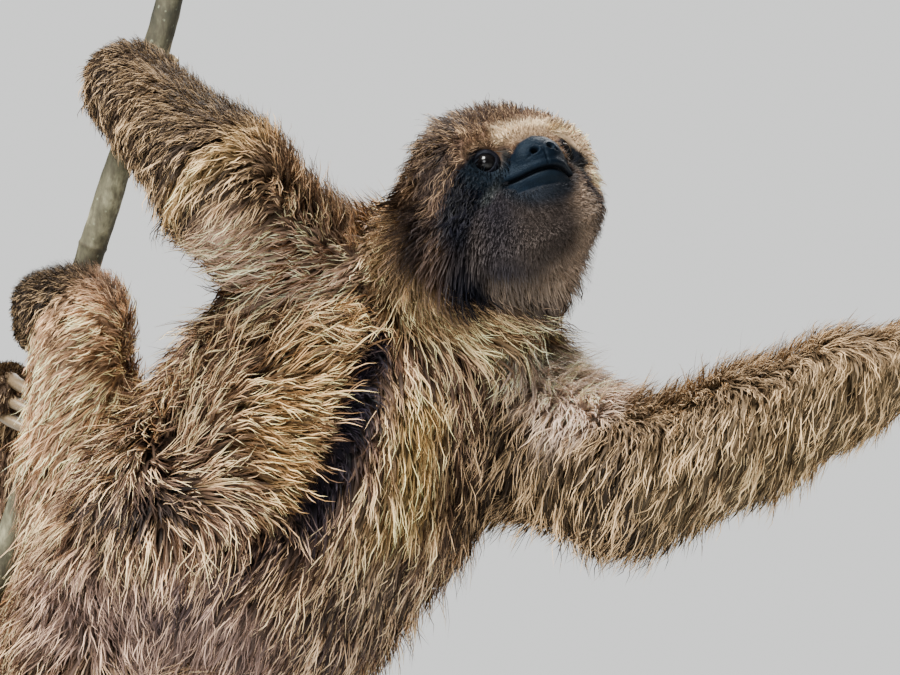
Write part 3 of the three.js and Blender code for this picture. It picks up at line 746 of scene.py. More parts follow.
@dataclass
class Body:
    """The animal's flesh in its pose, as one smooth surface."""

    head: HeadAxes = field(default_factory=HeadAxes)
    within: float = 12.0        # the fillet between the bones of one part
    margin: float = 48.0        # how far from a bone its distance is worked out
    far: float = 1000.0         # the distance that stands for anything beyond
    step: float = 0.4           # over which a slope is measured
    at: dict[str, Point] = field(default_factory=lambda: {
        "chest": (78, -22, 294), "ribs": (42, -23, 255), "loin": (2, -12, 205), "pelvis": (-39, 19, 165),
        "rump": (-74, 51, 137), "tail_tip": (-100, 75, 103),
        "neck_base": (85, -26, 311), "nape": (117, -61, 334),
        "left_scapula": (66, -18, 309), "left_shoulder": (46, -6, 316), "left_elbow": (-3, -83, 364),
        "left_wrist": (-47, -11, 412), "left_palm": (-60, 21, 421),
        "right_scapula": (86, -16, 286), "right_shoulder": (106, -4, 272), "right_elbow": (175, -66, 238),
        "right_arm_a": (222, -77, 256), "right_arm_b": (262, -81, 275), "right_wrist": (299, -84, 286),
        "right_palm": (336, -74, 289),
        "left_hip": (-58, 27, 169), "left_knee": (-68, 36, 243), "left_ankle": (-69, 8, 310),
        "left_heel": (-75, 8, 318), "left_instep": (-87, 22, 319), "left_sole": (-93, 38, 311),
        "right_hip": (-63, 50, 127), "right_knee": (-93, 135, 191), "right_ankle": (-112, 99, 274),
        "right_instep": (-109, 82, 282), "right_sole": (-108.5, 62, 281.5)})
    # each grip: its point on the stem, the limb's end that holds it and the way its claws go round
    grips: dict[str, tuple[Point, str, Point]] = field(default_factory=lambda: {
        "hand_left": ((-42, 27.5, 421.8), "left_palm", (-0.24, 0.93, 0.27)),
        "foot_left": ((-77.7, 50.6, 313), "left_sole", (-0.45, 0.9, -0.01)),
        "foot_right": ((-88.8, 64.8, 276), "right_sole", (-0.04, -0.96, -0.27))})
    right_curl: Point = (0.12, 0.5, -0.86)
    eye_place: Point = (19.1, 25.8, 6.4)
    nose: Point = (-1.0, 42.0, 2.0)
    orbit: tuple[float, ...] = (9.0, 2.0, 8.6, 0.4)     # a hollow's radius and its place from the eye
    nape_depth: float = 6.0
    head_reach: float = 90.0

    def __post_init__(self) -> None:
        """Makes the bones and the hollows before the eyes."""
        self.spot = {name: np.array(p, float) for name, p in self.at.items()}
        axis = unit(self.spot["chest"] - self.spot["pelvis"])
        back = np.array([0.0, -1.0, 0.0])
        self.dorsal = unit(back - axis * (back @ axis))
        self.flesh = self._flesh()
        side, forward, up = self.eye_place
        _, out, ahead, above = self.orbit
        self.eyes = [self.head.place(s * side, forward, up) for s in (-1, 1)]
        self.hollows = [self.head.place(s * (side + out), forward + ahead, up + above) for s in (-1, 1)]
        self.groups: tuple[tuple[float, tuple[Part, ...]], ...] = (
            (22.0, (Part.TRUNK, Part.NECK, Part.SHOULDER_LEFT, Part.SHOULDER_RIGHT, Part.UPPER_ARM_LEFT,
                    Part.UPPER_ARM_RIGHT, Part.THIGH_LEFT, Part.THIGH_RIGHT, Part.TAIL)),
            (12.0, (Part.UPPER_ARM_LEFT, Part.FOREARM_LEFT, Part.HAND_LEFT)),
            (12.0, (Part.UPPER_ARM_RIGHT, Part.FOREARM_RIGHT, Part.HAND_RIGHT)),
            (10.0, (Part.THIGH_LEFT, Part.SHIN_LEFT, Part.FOOT_LEFT)),
            (10.0, (Part.THIGH_RIGHT, Part.SHIN_RIGHT, Part.FOOT_RIGHT)),
            (26.0, (Part.TRUNK, Part.SHIN_LEFT)),
            (16.0, (Part.NECK, Part.HEAD)))

    def numbers(self, *parts: Part) -> list[int]:
        """Gives the parts' numbers."""
        return [list(self.flesh).index(part) for part in parts]

    def grip(self, name: str) -> tuple[Array, Array, Array, float]:
        """Finds how a hand or foot holds the stem.

        Args:
            name: the hand or foot.

        Returns:
            The point on the stem, the outward and onward directions and the reach.
        """
        point, end, heading = self.grips[name]
        away = self.spot[end] - np.array(point)
        out = unit(away)
        onward = np.array(heading, float)
        return np.array(point), out, unit(onward - out * (onward @ out)), float(np.linalg.norm(away))

    def _bone(self, a: str, b: str, radius: tuple[float, float], coat: tuple[float, float],
              flat: float = 1.0, along: Array | None = None) -> Bone:
        """Makes a bone between two named spots."""
        return Bone(self.spot[a], self.spot[b], radius, coat, flat, None if along is None else unit(along))

    def _flesh(self) -> dict[Part, list[Bone]]:
        """Makes the flesh.

        Returns:
            Every part's bones, with the coat's depth at each end.
        """
        make, back = self._bone, self.dorsal
        head = self.head.place
        skull = [
            Bone(head(-3, -8, 7), head(-2, -2, 8), (41, 41), (3, 3)),
            Bone(head(0, 14, 0), head(0, 33, -2.5), (25, 11.5), (2, 0.9)),
            Bone(head(-29, -9, -9), head(18, 0, -9), (27, 25), (3, 3)),
            Bone(head(0, 2, -20), head(4, -5, -33), (32, 21), (3, 5)),
            Bone(head(-20, 13, 13), head(20, 13, 13), (21.5, 21.5), (2.5, 2.5))]
        hand, foot, other = (self.grip(name)[1] for name in ("hand_left", "foot_left", "foot_right"))
        return {
            Part.TRUNK: [make("chest", "ribs", (59, 79), (14, 15), 0.86, back),
                         make("ribs", "loin", (79, 80), (15, 16), 0.84, back),
                         make("loin", "pelvis", (78, 62), (16, 14), 0.9, back),
                         make("pelvis", "rump", (58, 42), (14, 11))],
            Part.NECK: [make("neck_base", "nape", (42, 38), (12, 12))],
            Part.SHOULDER_LEFT: [make("left_scapula", "left_shoulder", (42, 37), (12, 11))],
            Part.SHOULDER_RIGHT: [make("right_scapula", "right_shoulder", (48, 41), (13, 12))],
            Part.UPPER_ARM_LEFT: [make("left_shoulder", "left_elbow", (36, 30), (11, 9))],
            Part.FOREARM_LEFT: [make("left_elbow", "left_wrist", (30.5, 22), (8, 5))],
            Part.HAND_LEFT: [make("left_wrist", "left_palm", (19.5, 15), (4.5, 3), 0.68, hand)],
            Part.UPPER_ARM_RIGHT: [make("right_shoulder", "right_elbow", (41, 35), (12, 12))],
            Part.FOREARM_RIGHT: [make("right_elbow", "right_arm_a", (33, 31), (12, 11)),
                                 make("right_arm_a", "right_arm_b", (31, 24), (11, 8)),
                                 make("right_arm_b", "right_wrist", (24, 16), (8, 4.5))],
            Part.HAND_RIGHT: [make("right_wrist", "right_palm", (17, 14.5), (4.5, 3), 0.74,
                                   np.array(self.right_curl))],
            Part.THIGH_LEFT: [make("left_hip", "left_knee", (42, 33), (12, 9))],
            Part.SHIN_LEFT: [make("left_knee", "left_ankle", (30, 25.5), (9, 7))],
            Part.FOOT_LEFT: [make("left_heel", "left_instep", (20, 15), (5, 3.5)),
                             make("left_instep", "left_sole", (14.5, 13), (3, 2.5), 0.74, foot)],
            Part.THIGH_RIGHT: [make("right_hip", "right_knee", (44, 32), (12, 9))],
            Part.SHIN_RIGHT: [make("right_knee", "right_ankle", (31, 22), (9, 6))],
            Part.FOOT_RIGHT: [make("right_ankle", "right_instep", (20, 15), (5, 3.5)),
                              make("right_instep", "right_sole", (14.5, 13), (3, 2.5), 0.72, other)],
            Part.TAIL: [make("rump", "tail_tip", (27, 14), (9, 6))],
            Part.HEAD: skull}

    def part_distances(self, p: Array, coat: float) -> dict[Part, Array]:
        """Measures every part's distance; far parts give a large number.

        Args:
            p: points.
            coat: 0 for the skin, 1 for the coat's tips.

        Returns:
            Distances for each part.
        """
        found = {}
        low, high = p.min(0), p.max(0)
        for part, bones in self.flesh.items():
            total = np.full(len(p), self.far)
            for bone in bones:
                reach = max(bone.radius) + self.margin
                start, end = np.minimum(bone.a, bone.b) - reach, np.maximum(bone.a, bone.b) + reach
                if np.any(start > high) or np.any(end < low):
                    continue
                near = np.flatnonzero(np.all((p > start) & (p < end), axis=1))
                total[near] = blend(total[near], bone.distance(p[near], coat), self.within)
            found[part] = total
        if coat < 1.0 and self.head_near(low, high):
            found[Part.HEAD] = self._bare_head(p, found[Part.HEAD], coat)
        return found

    def head_near(self, low: Array, high: Array) -> bool:
        """Tells whether a box comes near the head."""
        skull = np.array(self.head.skull)
        return bool(np.all(skull + self.head_reach > low) and np.all(skull - self.head_reach < high))

    def _bare_head(self, p: Array, total: Array, coat: float) -> Array:
        """Thins the head where its coat is deep, at the crown and nape, and hollows it before the eyes.

        Args:
            p: points.
            total: the head's distances.
            coat: 0 for the skin, 1 for the coat's tips.

        Returns:
            The new distances.
        """
        q = self.head.local(p)
        deep = np.maximum(ease(16.0, -8.0, q[:, 1]), 0.7 * ease(12.0, 26.0, q[:, 2]))
        total = total + self.nape_depth * deep * (1.0 - coat)
        for hollow in self.hollows:
            ball = np.linalg.norm(p - hollow, axis=1) - self.orbit[0]
            total = -blend(-total, ball, 5.0)
        return total

    def distance(self, p: Array, coat: float = 0.0) -> Array:
        """Gives the distance from each point to the whole animal.

        Args:
            p: points.
            coat: 0 for the skin, 1 for the coat's tips.

        Returns:
            Distances, negative inside.
        """
        parts = self.part_distances(p, coat)
        best = np.full(len(p), self.far)
        for width, names in self.groups:
            total = parts[names[0]]
            for name in names[1:]:
                total = blend(total, parts[name], width)
            best = np.minimum(best, total)
        return best

    def slope(self, p: Array) -> tuple[Array, Array]:
        """Measures the distance to the skin and the way out of it.

        Args:
            p: points.

        Returns:
            Distances and unit directions.
        """
        here = self.distance(p)
        ways = [self.distance(p + self.step * axis) - here for axis in np.eye(3)]
        return here, unit(np.stack(ways, 1))

    def nearest(self, p: Array) -> tuple[Array, Array, Array]:
        """Gives the part that owns each point, and its place round and along that part.

        Args:
            p: points.

        Returns:
            The part's number, the turn round it and the share along it, both from 0 to 1.
        """
        best = np.full(len(p), self.far)
        number, turn, share = np.zeros(len(p), int), np.zeros(len(p)), np.zeros(len(p))
        for n, bones in enumerate(self.flesh.values()):
            for m, bone in enumerate(bones):
                away = bone.distance(p, 0.0)
                near = away < best
                best[near] = away[near]
                number[near] = n
                axis = unit(bone.b - bone.a)
                side = unit(np.cross(axis, [0.31, 0.77, 0.56]))
                other = np.cross(axis, side)
                q = p[near] - bone.a
                turn[near] = np.arctan2(q @ other, q @ side) / (2 * math.pi) + 0.5
                reach = np.linalg.norm(bone.b - bone.a) + 2 * max(bone.radius)
                along = np.clip(((q @ axis) + max(bone.radius)) / reach, 0, 1)
                share[near] = (m + along) / len(bones)
        return number, turn, share


def surface_net(axes: Sequence[Array], values: Array) -> tuple[Array, Array]:
    """Draws the zero surface of values on a grid, as one vertex in each crossed cell and quads.

    Args:
        axes: the grid's places along x, y and z.
        values: the values on the grid.

    Returns:
        The vertices and the quads.
    """
    inside = values < 0
    size = np.array(values.shape)
    shifts = [(x, y, z) for z in (0, 1) for y in (0, 1) for x in (0, 1)]
    count = sum(inside[x:size[0] - 1 + x, y:size[1] - 1 + y, z:size[2] - 1 + z].astype(np.int8)
                for x, y, z in shifts)
    cells = np.argwhere((count > 0) & (count < 8))
    number = np.full(size - 1, -1)
    number[tuple(cells.T)] = np.arange(len(cells))
    total, crossings = np.zeros((len(cells), 3)), np.zeros(len(cells))
    for a in shifts:
        for axis in range(3):
            if a[axis]:
                continue
            b = tuple(v + (n == axis) for n, v in enumerate(a))
            ca, cb = cells + a, cells + b
            va, vb = values[tuple(ca.T)], values[tuple(cb.T)]
            hit = (va < 0) != (vb < 0)
            t = (va[hit] / (va[hit] - vb[hit]))[:, None]
            pa = np.stack([axes[n][ca[hit, n]] for n in range(3)], 1)
            pb = np.stack([axes[n][cb[hit, n]] for n in range(3)], 1)
            total[hit] += pa + (pb - pa) * t
            crossings[hit] += 1
    quads = []
    for axis in range(3):
        u, v = (axis + 1) % 3, (axis + 2) % 3
        ahead = [slice(None)] * 3
        behind = [slice(None)] * 3
        ahead[axis], behind[axis] = slice(1, None), slice(None, -1)
        edge = np.argwhere(inside[tuple(ahead)] != inside[tuple(behind)])
        ring = []
        for du, dv in ((0, 0), (1, 0), (1, 1), (0, 1)):
            c = edge.copy()
            c[:, u] -= du
            c[:, v] -= dv
            ring.append(number[tuple(c.T)])
        ring = np.stack(ring, 1)
        flip = ~inside[tuple(edge.T)]
        ring[flip] = ring[flip][:, ::-1]
        quads.append(ring)
    return total / crossings[:, None], np.concatenate(quads)


# ---- markings


@dataclass(frozen=True)
class Mark:
    """A soft-edged stroke of colour on skin and coat alike."""

    path: tuple[tuple[float, ...], ...]
    radius: float
    soft: float
    colour: Colour
    amount: float = 1.0
    pale: float = 1.0
    mirrored: bool = False

    def share(self, p: Array) -> Array:
        """Works out how strongly the mark shows.

        Args:
            p: points.

        Returns:
            A share from 0 to 1 for each.
        """
        path = np.array(self.path, float)
        away = [np.linalg.norm(from_line(p, a, b)[1], axis=1) for a, b in zip(path[:-1], path[1:])]
        return self.amount * ease(self.radius + self.soft, self.radius - self.soft, np.min(away, 0))


@dataclass
class Markings:
    """The animal's colours. Skin and coat both ask here."""

    body: Body
    ground: dict[Part, Colour] = field(default_factory=lambda: {
        Part.TRUNK: (134, 108, 90), Part.NECK: (156, 135, 107), Part.SHOULDER_LEFT: (218, 180, 150),
        Part.SHOULDER_RIGHT: (118, 96, 78), Part.UPPER_ARM_LEFT: (106, 84, 66),
        Part.FOREARM_LEFT: (62, 50, 38), Part.HAND_LEFT: (50, 41, 31),
        Part.UPPER_ARM_RIGHT: (66, 55, 42), Part.FOREARM_RIGHT: (116, 100, 74),
        Part.HAND_RIGHT: (112, 94, 72), Part.THIGH_LEFT: (152, 122, 98), Part.SHIN_LEFT: (216, 176, 140),
        Part.FOOT_LEFT: (38, 30, 23), Part.THIGH_RIGHT: (132, 108, 88), Part.SHIN_RIGHT: (132, 108, 88),
        Part.FOOT_RIGHT: (68, 54, 41), Part.TAIL: (116, 94, 78), Part.HEAD: (92, 72, 58)})
    # parts painted lighter on their upper sides, as painted light from above
    lit_from_above: tuple[Part, ...] = (
        Part.UPPER_ARM_LEFT, Part.SHOULDER_LEFT, Part.UPPER_ARM_RIGHT, Part.FOREARM_RIGHT)
    top_light: Colour = (140, 116, 90)      # painted light: the colour laid on top of those parts, where they face up
    body_marks: tuple[Mark, ...] = (       # places are x and z of the part's frame, on the side facing -Y
        Mark(((40, 292), (24, 272), (12, 256), (18, 236)), 17, 14, (172, 132, 78), 0.75, 0.72),
        Mark(((80, 276), (77, 240), (66, 200)), 10, 9, (182, 150, 90), 0.78, 0.8),
        Mark(((110, 258), (104, 232)), 16, 10, (62, 50, 40), 0.88, 0.8),
        Mark(((92, 316), (70, 312), (50, 318)), 9, 9, (178, 144, 96), 0.6),
        Mark(((-62, 262), (-60, 296)), 12, 9, (190, 154, 120), 0.6),
        Mark(((-54, 326), (-42, 308), (-40, 290)), 8, 7, (100, 82, 70), 1.0, 0.7),
        Mark(((130, 298), (150, 273)), 14, 8, (255, 226, 204), 0.96, 1.4),
        Mark(((-62, 332), (-70, 324), (-75, 306)), 5, 4, (84, 67, 53), 0.75),
        Mark(((74, 334), (84, 318), (100, 306)), 11, 8, (176, 142, 102), 0.8, 1.2),
        # pale fur below the shoulder, partly painted light: lightened further to make up for the shade where
        # it faces down
        Mark(((6, 338), (44, 325)), 14, 10, (240, 200, 172), 0.88, 1.2),
        Mark(((20, 368), (32, 352)), 7, 8, (140, 112, 88), 0.7, 0.9),
        Mark(((-62, 190), (10, 172)), 22, 14, (150, 125, 116), 0.85, 0.45),
        Mark(((24, 379), (-8, 368), (-26, 352)), 3.5, 4.5, (184, 150, 100), 0.8, 1.3),
        Mark(((61, 312), (62, 297)), 2.4, 3.0, (30, 26, 38), 0.95, 0.1),
        Mark(((62, 297), (57, 279), (53, 261)), 6.0, 3.2, (28, 24, 36), 0.98, 0.05),
        Mark(((53, 261), (46, 240), (34, 222)), 7.0, 4.0, (30, 26, 38), 0.97, 0.08),
        Mark(((34, 222), (16, 205), (-10, 196), (-30, 190)), 6.0, 6.0, (52, 43, 52), 0.75, 0.45),
        Mark(((72, 204), (50, 176)), 18, 12, (103, 90, 88), 0.8, 0.9),
        # painted shade in the messy hollow beside the whorl
        Mark(((-54, 234), (-38, 230), (-28, 228)), 5.5, 4.5, (40, 35, 37), 0.9, 0.5))
    head_marks: tuple[Mark, ...] = (       # places are along the head's own axes
        Mark(((-24, 12, 34), (0, 18, 36), (24, 10, 33)), 17, 7, (66, 52, 43), 0.92, 0.6),
        # the lower face and throat: their own darker brown, partly painted shade where they face down
        Mark(((-26, 18, -14), (-10, 24, -24), (-24, 8, -24), (-16, 8, -30), (0, 18, -36),
                          (14, 16, -32), (-4, -6, -42)), 19, 5, (70, 62, 58), 0.97, 0.1),
        Mark(((-24, 22, -13), (-22, 15, -22), (-20, 6, -30)), 9, 7, (48, 46, 54), 0.8, 0.05),
        Mark(((-20, -6, -34), (-4, 0, -42)), 7, 5, (116, 102, 90), 0.8, 0.4),
        # lighter fur on the lower cheek, partly painted light: lightened to make up for the shade where it
        # faces down
        Mark(((17, 28, -20), (17, 22, -29), (15, 11, -35), (5, 6, -42)), 9, 8, (166, 145, 126), 0.86, 0.5),
        Mark(((-38, -30, 14), (-44, -18, 10), (-46, -12, -2), (-44, -18, -12), (-38, -27, -17),
                          (-30, -24, -28)), 9, 6, (196, 164, 124), 0.88, 1.1),
        Mark(((-37, 22, 14), (-41, 12, 12), (-43, 3, 3), (-44, -5, -5)), 10, 6,
             (46, 36, 32), 0.95, 0.3),
        # painted light along the head's left outline, where it turns away from the lamps
        Mark(((-44, 6, 16), (-47, -4, 8), (-47.5, -11, 0)), 5, 4, (158, 128, 100), 0.8, 0.9),
        Mark(((-41, 6, -4), (-43, 0, -8), (-42, -4, -13)), 5, 4, (30, 24, 27), 0.85, 0.1),
        Mark(((-37, 20, 5), (-40, 12, 1), (-42, 2, -4)), 1.8, 2.4, (100, 76, 58), 0.5, 0.6),
        Mark(((-31, 26, 9), (-26, 29, 12), (-19, 31, 14)), 2.0, 2.0, (130, 106, 82), 0.8, 0.7),
        Mark(((-11, 34.8, 14.2), (-4.6, 36, 14.5), (6, 35, 15),
                          (16, 32, 14.5), (24, 30, 13)), 3.6, 2.8, (232, 206, 168), 0.97, 1.4),
        Mark(((-9, 38, 9), (0, 40, 9.5), (7, 39, 9)), 3.0, 2.4, (160, 136, 108), 0.8, 0.8),
        Mark(((-13.5, 33, 5), (-17, 32, 0), (-22.5, 29.3, -5.6), (-27, 24, -9)), 3.2, 2.0,
             (64, 70, 71), 0.8, 0.2, True),
        Mark(((-29.5, 26, -0.5), (-32.4, 21, -3), (-34, 13.5, -7.5), (-34.4, 6, -13.5)), 8.0, 2.2,
             (4, 9, 22), 1.0, 0.0),
        Mark(((-34.4, 6, -13.5), (-33.6, -2, -19), (-32, -9.6, -25)), 8.8, 3.4,
             (5, 10, 23), 0.98, 0.0),
        Mark(((22, 27, -11), (30, 21, -13), (32.5, 14, -14), (33.5, 4, -18)), 4.6, 3.0,
             (38, 33, 38), 0.9, 0.15),
        Mark(((29, 28, 10), (31, 25, 3), (31, 23, -5)), 6.0, 3.0, (250, 216, 178), 0.95, 1.2),
        Mark(((-25.5, 28.5, 1), (-22, 28, 5.6)), 7.8, 1.6, (20, 27, 35), 1.0, 0.0),
        Mark(((24, 28.5, 1), (22, 28, 6)), 6.4, 1.8, (9, 9, 14), 1.0, 0.0),
        Mark(((-14.5, 33.5, 2), (-18, 32.5, -3), (-20.5, 31, -7), (-20, 31, -11), (-15, 33.5, -15),
                          (-6, 36, -17), (4, 36.5, -17), (12, 33.5, -14), (15, 31, -9), (13, 32, -2)),
             3.0, 2.4, (30, 35, 41), 0.85, 0.05),
        Mark(((-17, 33, -14), (-12, 34, -18), (0, 37, -20), (8, 35.5, -17)), 5.6, 3.6,
             (34, 38, 45), 0.95, 0.1),
        Mark(((-19, 34.5, -5), (-14, 38, -4), (-8, 42, -2), (0, 44, -2), (6, 42.5, -4),
                          (10, 39, -8)), 5.4, 1.8, (18, 24, 30), 1.0, 0.0))

    def colours(self, p: Array, normal: Array, number: Array) -> tuple[Array, Array]:
        """Works out the coat's colour and how many pale hairs grow in it.

        Args:
            p: points on the skin.
            normal: outward directions there.
            number: the owning part's number.

        Returns:
            Linear colours and a share of pale hairs.
        """
        colour = np.array([linear(*self.ground[part]) for part in self.body.flesh])[number]
        colour = colour * (1.0 + 0.22 * waves(p, 34.0, 3) + 0.1 * waves(p, 11.0, 4))[:, None]
        warm = (0.5 + 0.5 * waves(p, 26.0, 5))[:, None]
        colour = colour * (warm * np.array([1.06, 1.0, 0.9]) + (1 - warm) * np.array([1.0, 0.97, 1.02]))
        limb = np.isin(number, self.body.numbers(*self.lit_from_above))
        # Painted light: the upper sides of those parts are tinted lighter, by how far they face up.
        colour = tinted(colour, self.top_light, 0.75 * limb * ease(0.1, 0.9, normal[:, 2]))
        pale = np.full(len(p), 1.0)
        head = np.isin(number, self.body.numbers(Part.HEAD))
        for marks, places, where in (
                (self.body_marks, p[:, [0, 2]], ease(0.35, -0.35, normal[:, 1]) * ~head),
                (self.head_marks, self.body.head.local(p), head)):
            for mark in marks:
                share = mark.share(places)
                if mark.mirrored:
                    share = np.maximum(share, mark.share(places * np.array([-1, 1, 1])))
                share = share * where
                colour = tinted(colour, mark.colour, share)
                pale += (mark.pale - pale) * share
        return colour, pale


# ---- skin, face and lids


@dataclass
class Muzzle:
    """The bare nose, lips and chin, sculpted finely over the front of the skin."""

    head: HeadAxes
    lean: float = -2.1
    half_width: float = 24.0
    low: float = -24.0
    high: float = 9.5
    step: float = 0.34
    above: float = 0.12                  # how far the sheet stands over the plain skin
    tuck: float = 1.6                    # how far its rim goes under it
    pad: Point = (10.8, 5.6, -0.4)       # half width, half height and height of the nose pad's middle
    nostril: Point = (3.7, -1.7, 2.8)    # side, height and depth of a nostril
    mouth: Point = (-10.0, -0.1, 19.0)   # height at the middle, slope and half width
    outline: tuple[tuple[float, ...], ...] = (      # heights and half widths of the bare pad and lips
        (-15.5, -14.0, -9.6, -6.3, -3.0, 1.4, 5.0, 7.2), (0.0, 14.0, 18.5, 18.0, 15.8, 12.6, 8.6, 0.0))

    def relief(self, left: Array, up: Array) -> Array:
        """Gives how far the face stands out from the plain skin.

        Args:
            left: places to the left, from the face's own middle.
            up: heights.

        Returns:
            Heights in millimetres.
        """
        width, height, middle = self.pad
        reach = (left / width) ** 2 + ((up - middle) / height) ** 2
        total = 0.55 * ease(1.3, 0.6, reach)
        side, level, depth = self.nostril
        for s in (-1.0, 1.0):
            x, y = left - s * side, up - level
            away = np.sqrt((x / 1.45) ** 2 + (y / 1.15) ** 2)
            total += 0.55 * np.exp(-((away - 1.5) / 0.55) ** 2) - depth * np.exp(-away ** 3)
            total -= 0.9 * np.exp(-((x - s * 2.0) / 1.5) ** 2 - ((y + 0.9 + 0.2 * s * x) / 0.55) ** 2)
        total -= 0.5 * np.exp(-(left / 0.5) ** 2) * ease(-2.0, -4.0, up) * ease(-10.5, -8.5, up)
        line, rise, wide = self.mouth
        fold = up - line - rise * left
        open_ = ease(wide, wide - 4.0, np.abs(left))
        total -= 2.0 * np.exp(-(fold / 0.6) ** 2) * open_
        total += 0.9 * np.exp(-((fold - 2.0) / 1.7) ** 2) * open_
        total += 0.8 * np.exp(-((fold + 2.4) / 1.9) ** 2) * ease(15.0, 5.0, np.abs(left))
        total += 0.7 * np.exp(-(left / 9.0) ** 2 - ((up + 17.0) / 3.5) ** 2)
        wrinkle = waves(np.stack([left, up * 1.3, up * 0], 1), 1.1, 21)
        return total + 0.07 * wrinkle * ease(1.4, 0.9, reach)

    def margin(self, left: Array, up: Array) -> Array:
        """Gives how far inside the bare pad and lips each point lies, sideways."""
        return np.interp(up, *self.outline) - np.abs(left)

    def bare(self, left: Array, up: Array) -> Array:
        """Gives 1 on the bare pad and lips and 0 on haired skin."""
        return ease(-1.2, 2.2, self.margin(left, up))

    def edge(self, left: Array, up: Array) -> Array:
        """Gives how near the sheet's oval rim each point lies: 0 in its middle, 1 on the rim."""
        middle = 0.5 * (self.low + self.high)
        return (left / self.half_width) ** 2 + ((up - middle) / (self.high - middle)) ** 2

    def sheet(self, body: Body) -> Arrays:
        """Makes the sculpted sheet.

        Args:
            body: the animal's flesh.

        Returns:
            Vertices, quads, and each vertex's places to the left and up on the head.
        """
        xs = np.arange(-self.half_width, self.half_width + 0.01, self.step)
        ys = np.arange(self.low, self.high + 0.01, self.step)
        grid = np.stack(np.meshgrid(xs, ys), -1).reshape(-1, 2)
        left, up = grid[:, 0], grid[:, 1]
        forward = np.full(len(left), 50.0)
        for _ in range(14):
            away = body.distance(self.head.place(left, forward, up))
            forward = forward - np.clip(away, -3.0, 8.0) * 0.85
        base = self.head.place(left, forward, up)
        _, normal = body.slope(base)
        relief = self.relief(left - self.lean, up)
        edge = self.edge(left, up)
        relief = relief * ease(1.0, 0.75, edge) + self.above - self.tuck * ease(0.82, 1.15, edge)
        cols = len(xs)
        n = np.arange(len(grid) - cols)
        n = n[n % cols != cols - 1]
        quads = np.stack([n, n + 1, n + cols + 1, n + cols], 1)
        keep = edge[quads].min(1) < 1.25
        return base + normal * relief[:, None], quads[keep], left, up


@dataclass
class Lids:
    """The lids of one eye: a thin dark rim round an almond opening, running back under the skin."""

    radius: float = 5.6
    opening: tuple[float, float] = (56.0, 44.0)   # half angles, across and up
    outer: float = 108.0        # how far back the rim runs, in degrees
    power: float = 1.7          # how square the opening is
    around: int = 72
    rows: int = 16

    def sheet(self, centre: Array, axis: Array, level: Array) -> Sheet:
        """Makes the rim.

        Args:
            centre: the eyeball's centre.
            axis: the way the eye looks.
            level: the way the opening is long.

        Returns:
            Vertices and quads.
        """
        above = np.cross(axis, level)
        turn = circle(self.around)
        wide, tall = (math.radians(a) for a in self.opening)
        c, s = np.cos(turn), np.sin(turn)
        low = np.where(s > 0, tall, tall * 0.92)
        edge = 1.0 / (np.abs(c / wide) ** self.power + np.abs(s / low) ** self.power) ** (1 / self.power)
        rows = []
        for n in range(self.rows):
            share = n / (self.rows - 1)
            angle = edge + (math.radians(self.outer) - edge) * max(share - 0.12, 0.0) / 0.88
            lift = 0.05 if n == 0 else 0.38 + 0.5 * math.sin(min(share * 2.6, 1.0) * math.pi / 2)
            fold, groove = math.exp(-((share - 0.34) / 0.07) ** 2), math.exp(-((share - 0.46) / 0.06) ** 2)
            lift += 0.2 * fold - 0.2 * groove
            ring = (np.cos(angle)[:, None] * axis + (np.sin(angle) * c)[:, None] * level
                    + (np.sin(angle) * s)[:, None] * above)
            rows.append(centre + ring * (self.radius + lift))
        return np.concatenate(rows), ring_quads(self.rows, self.around)[:, [0, 3, 2, 1]]


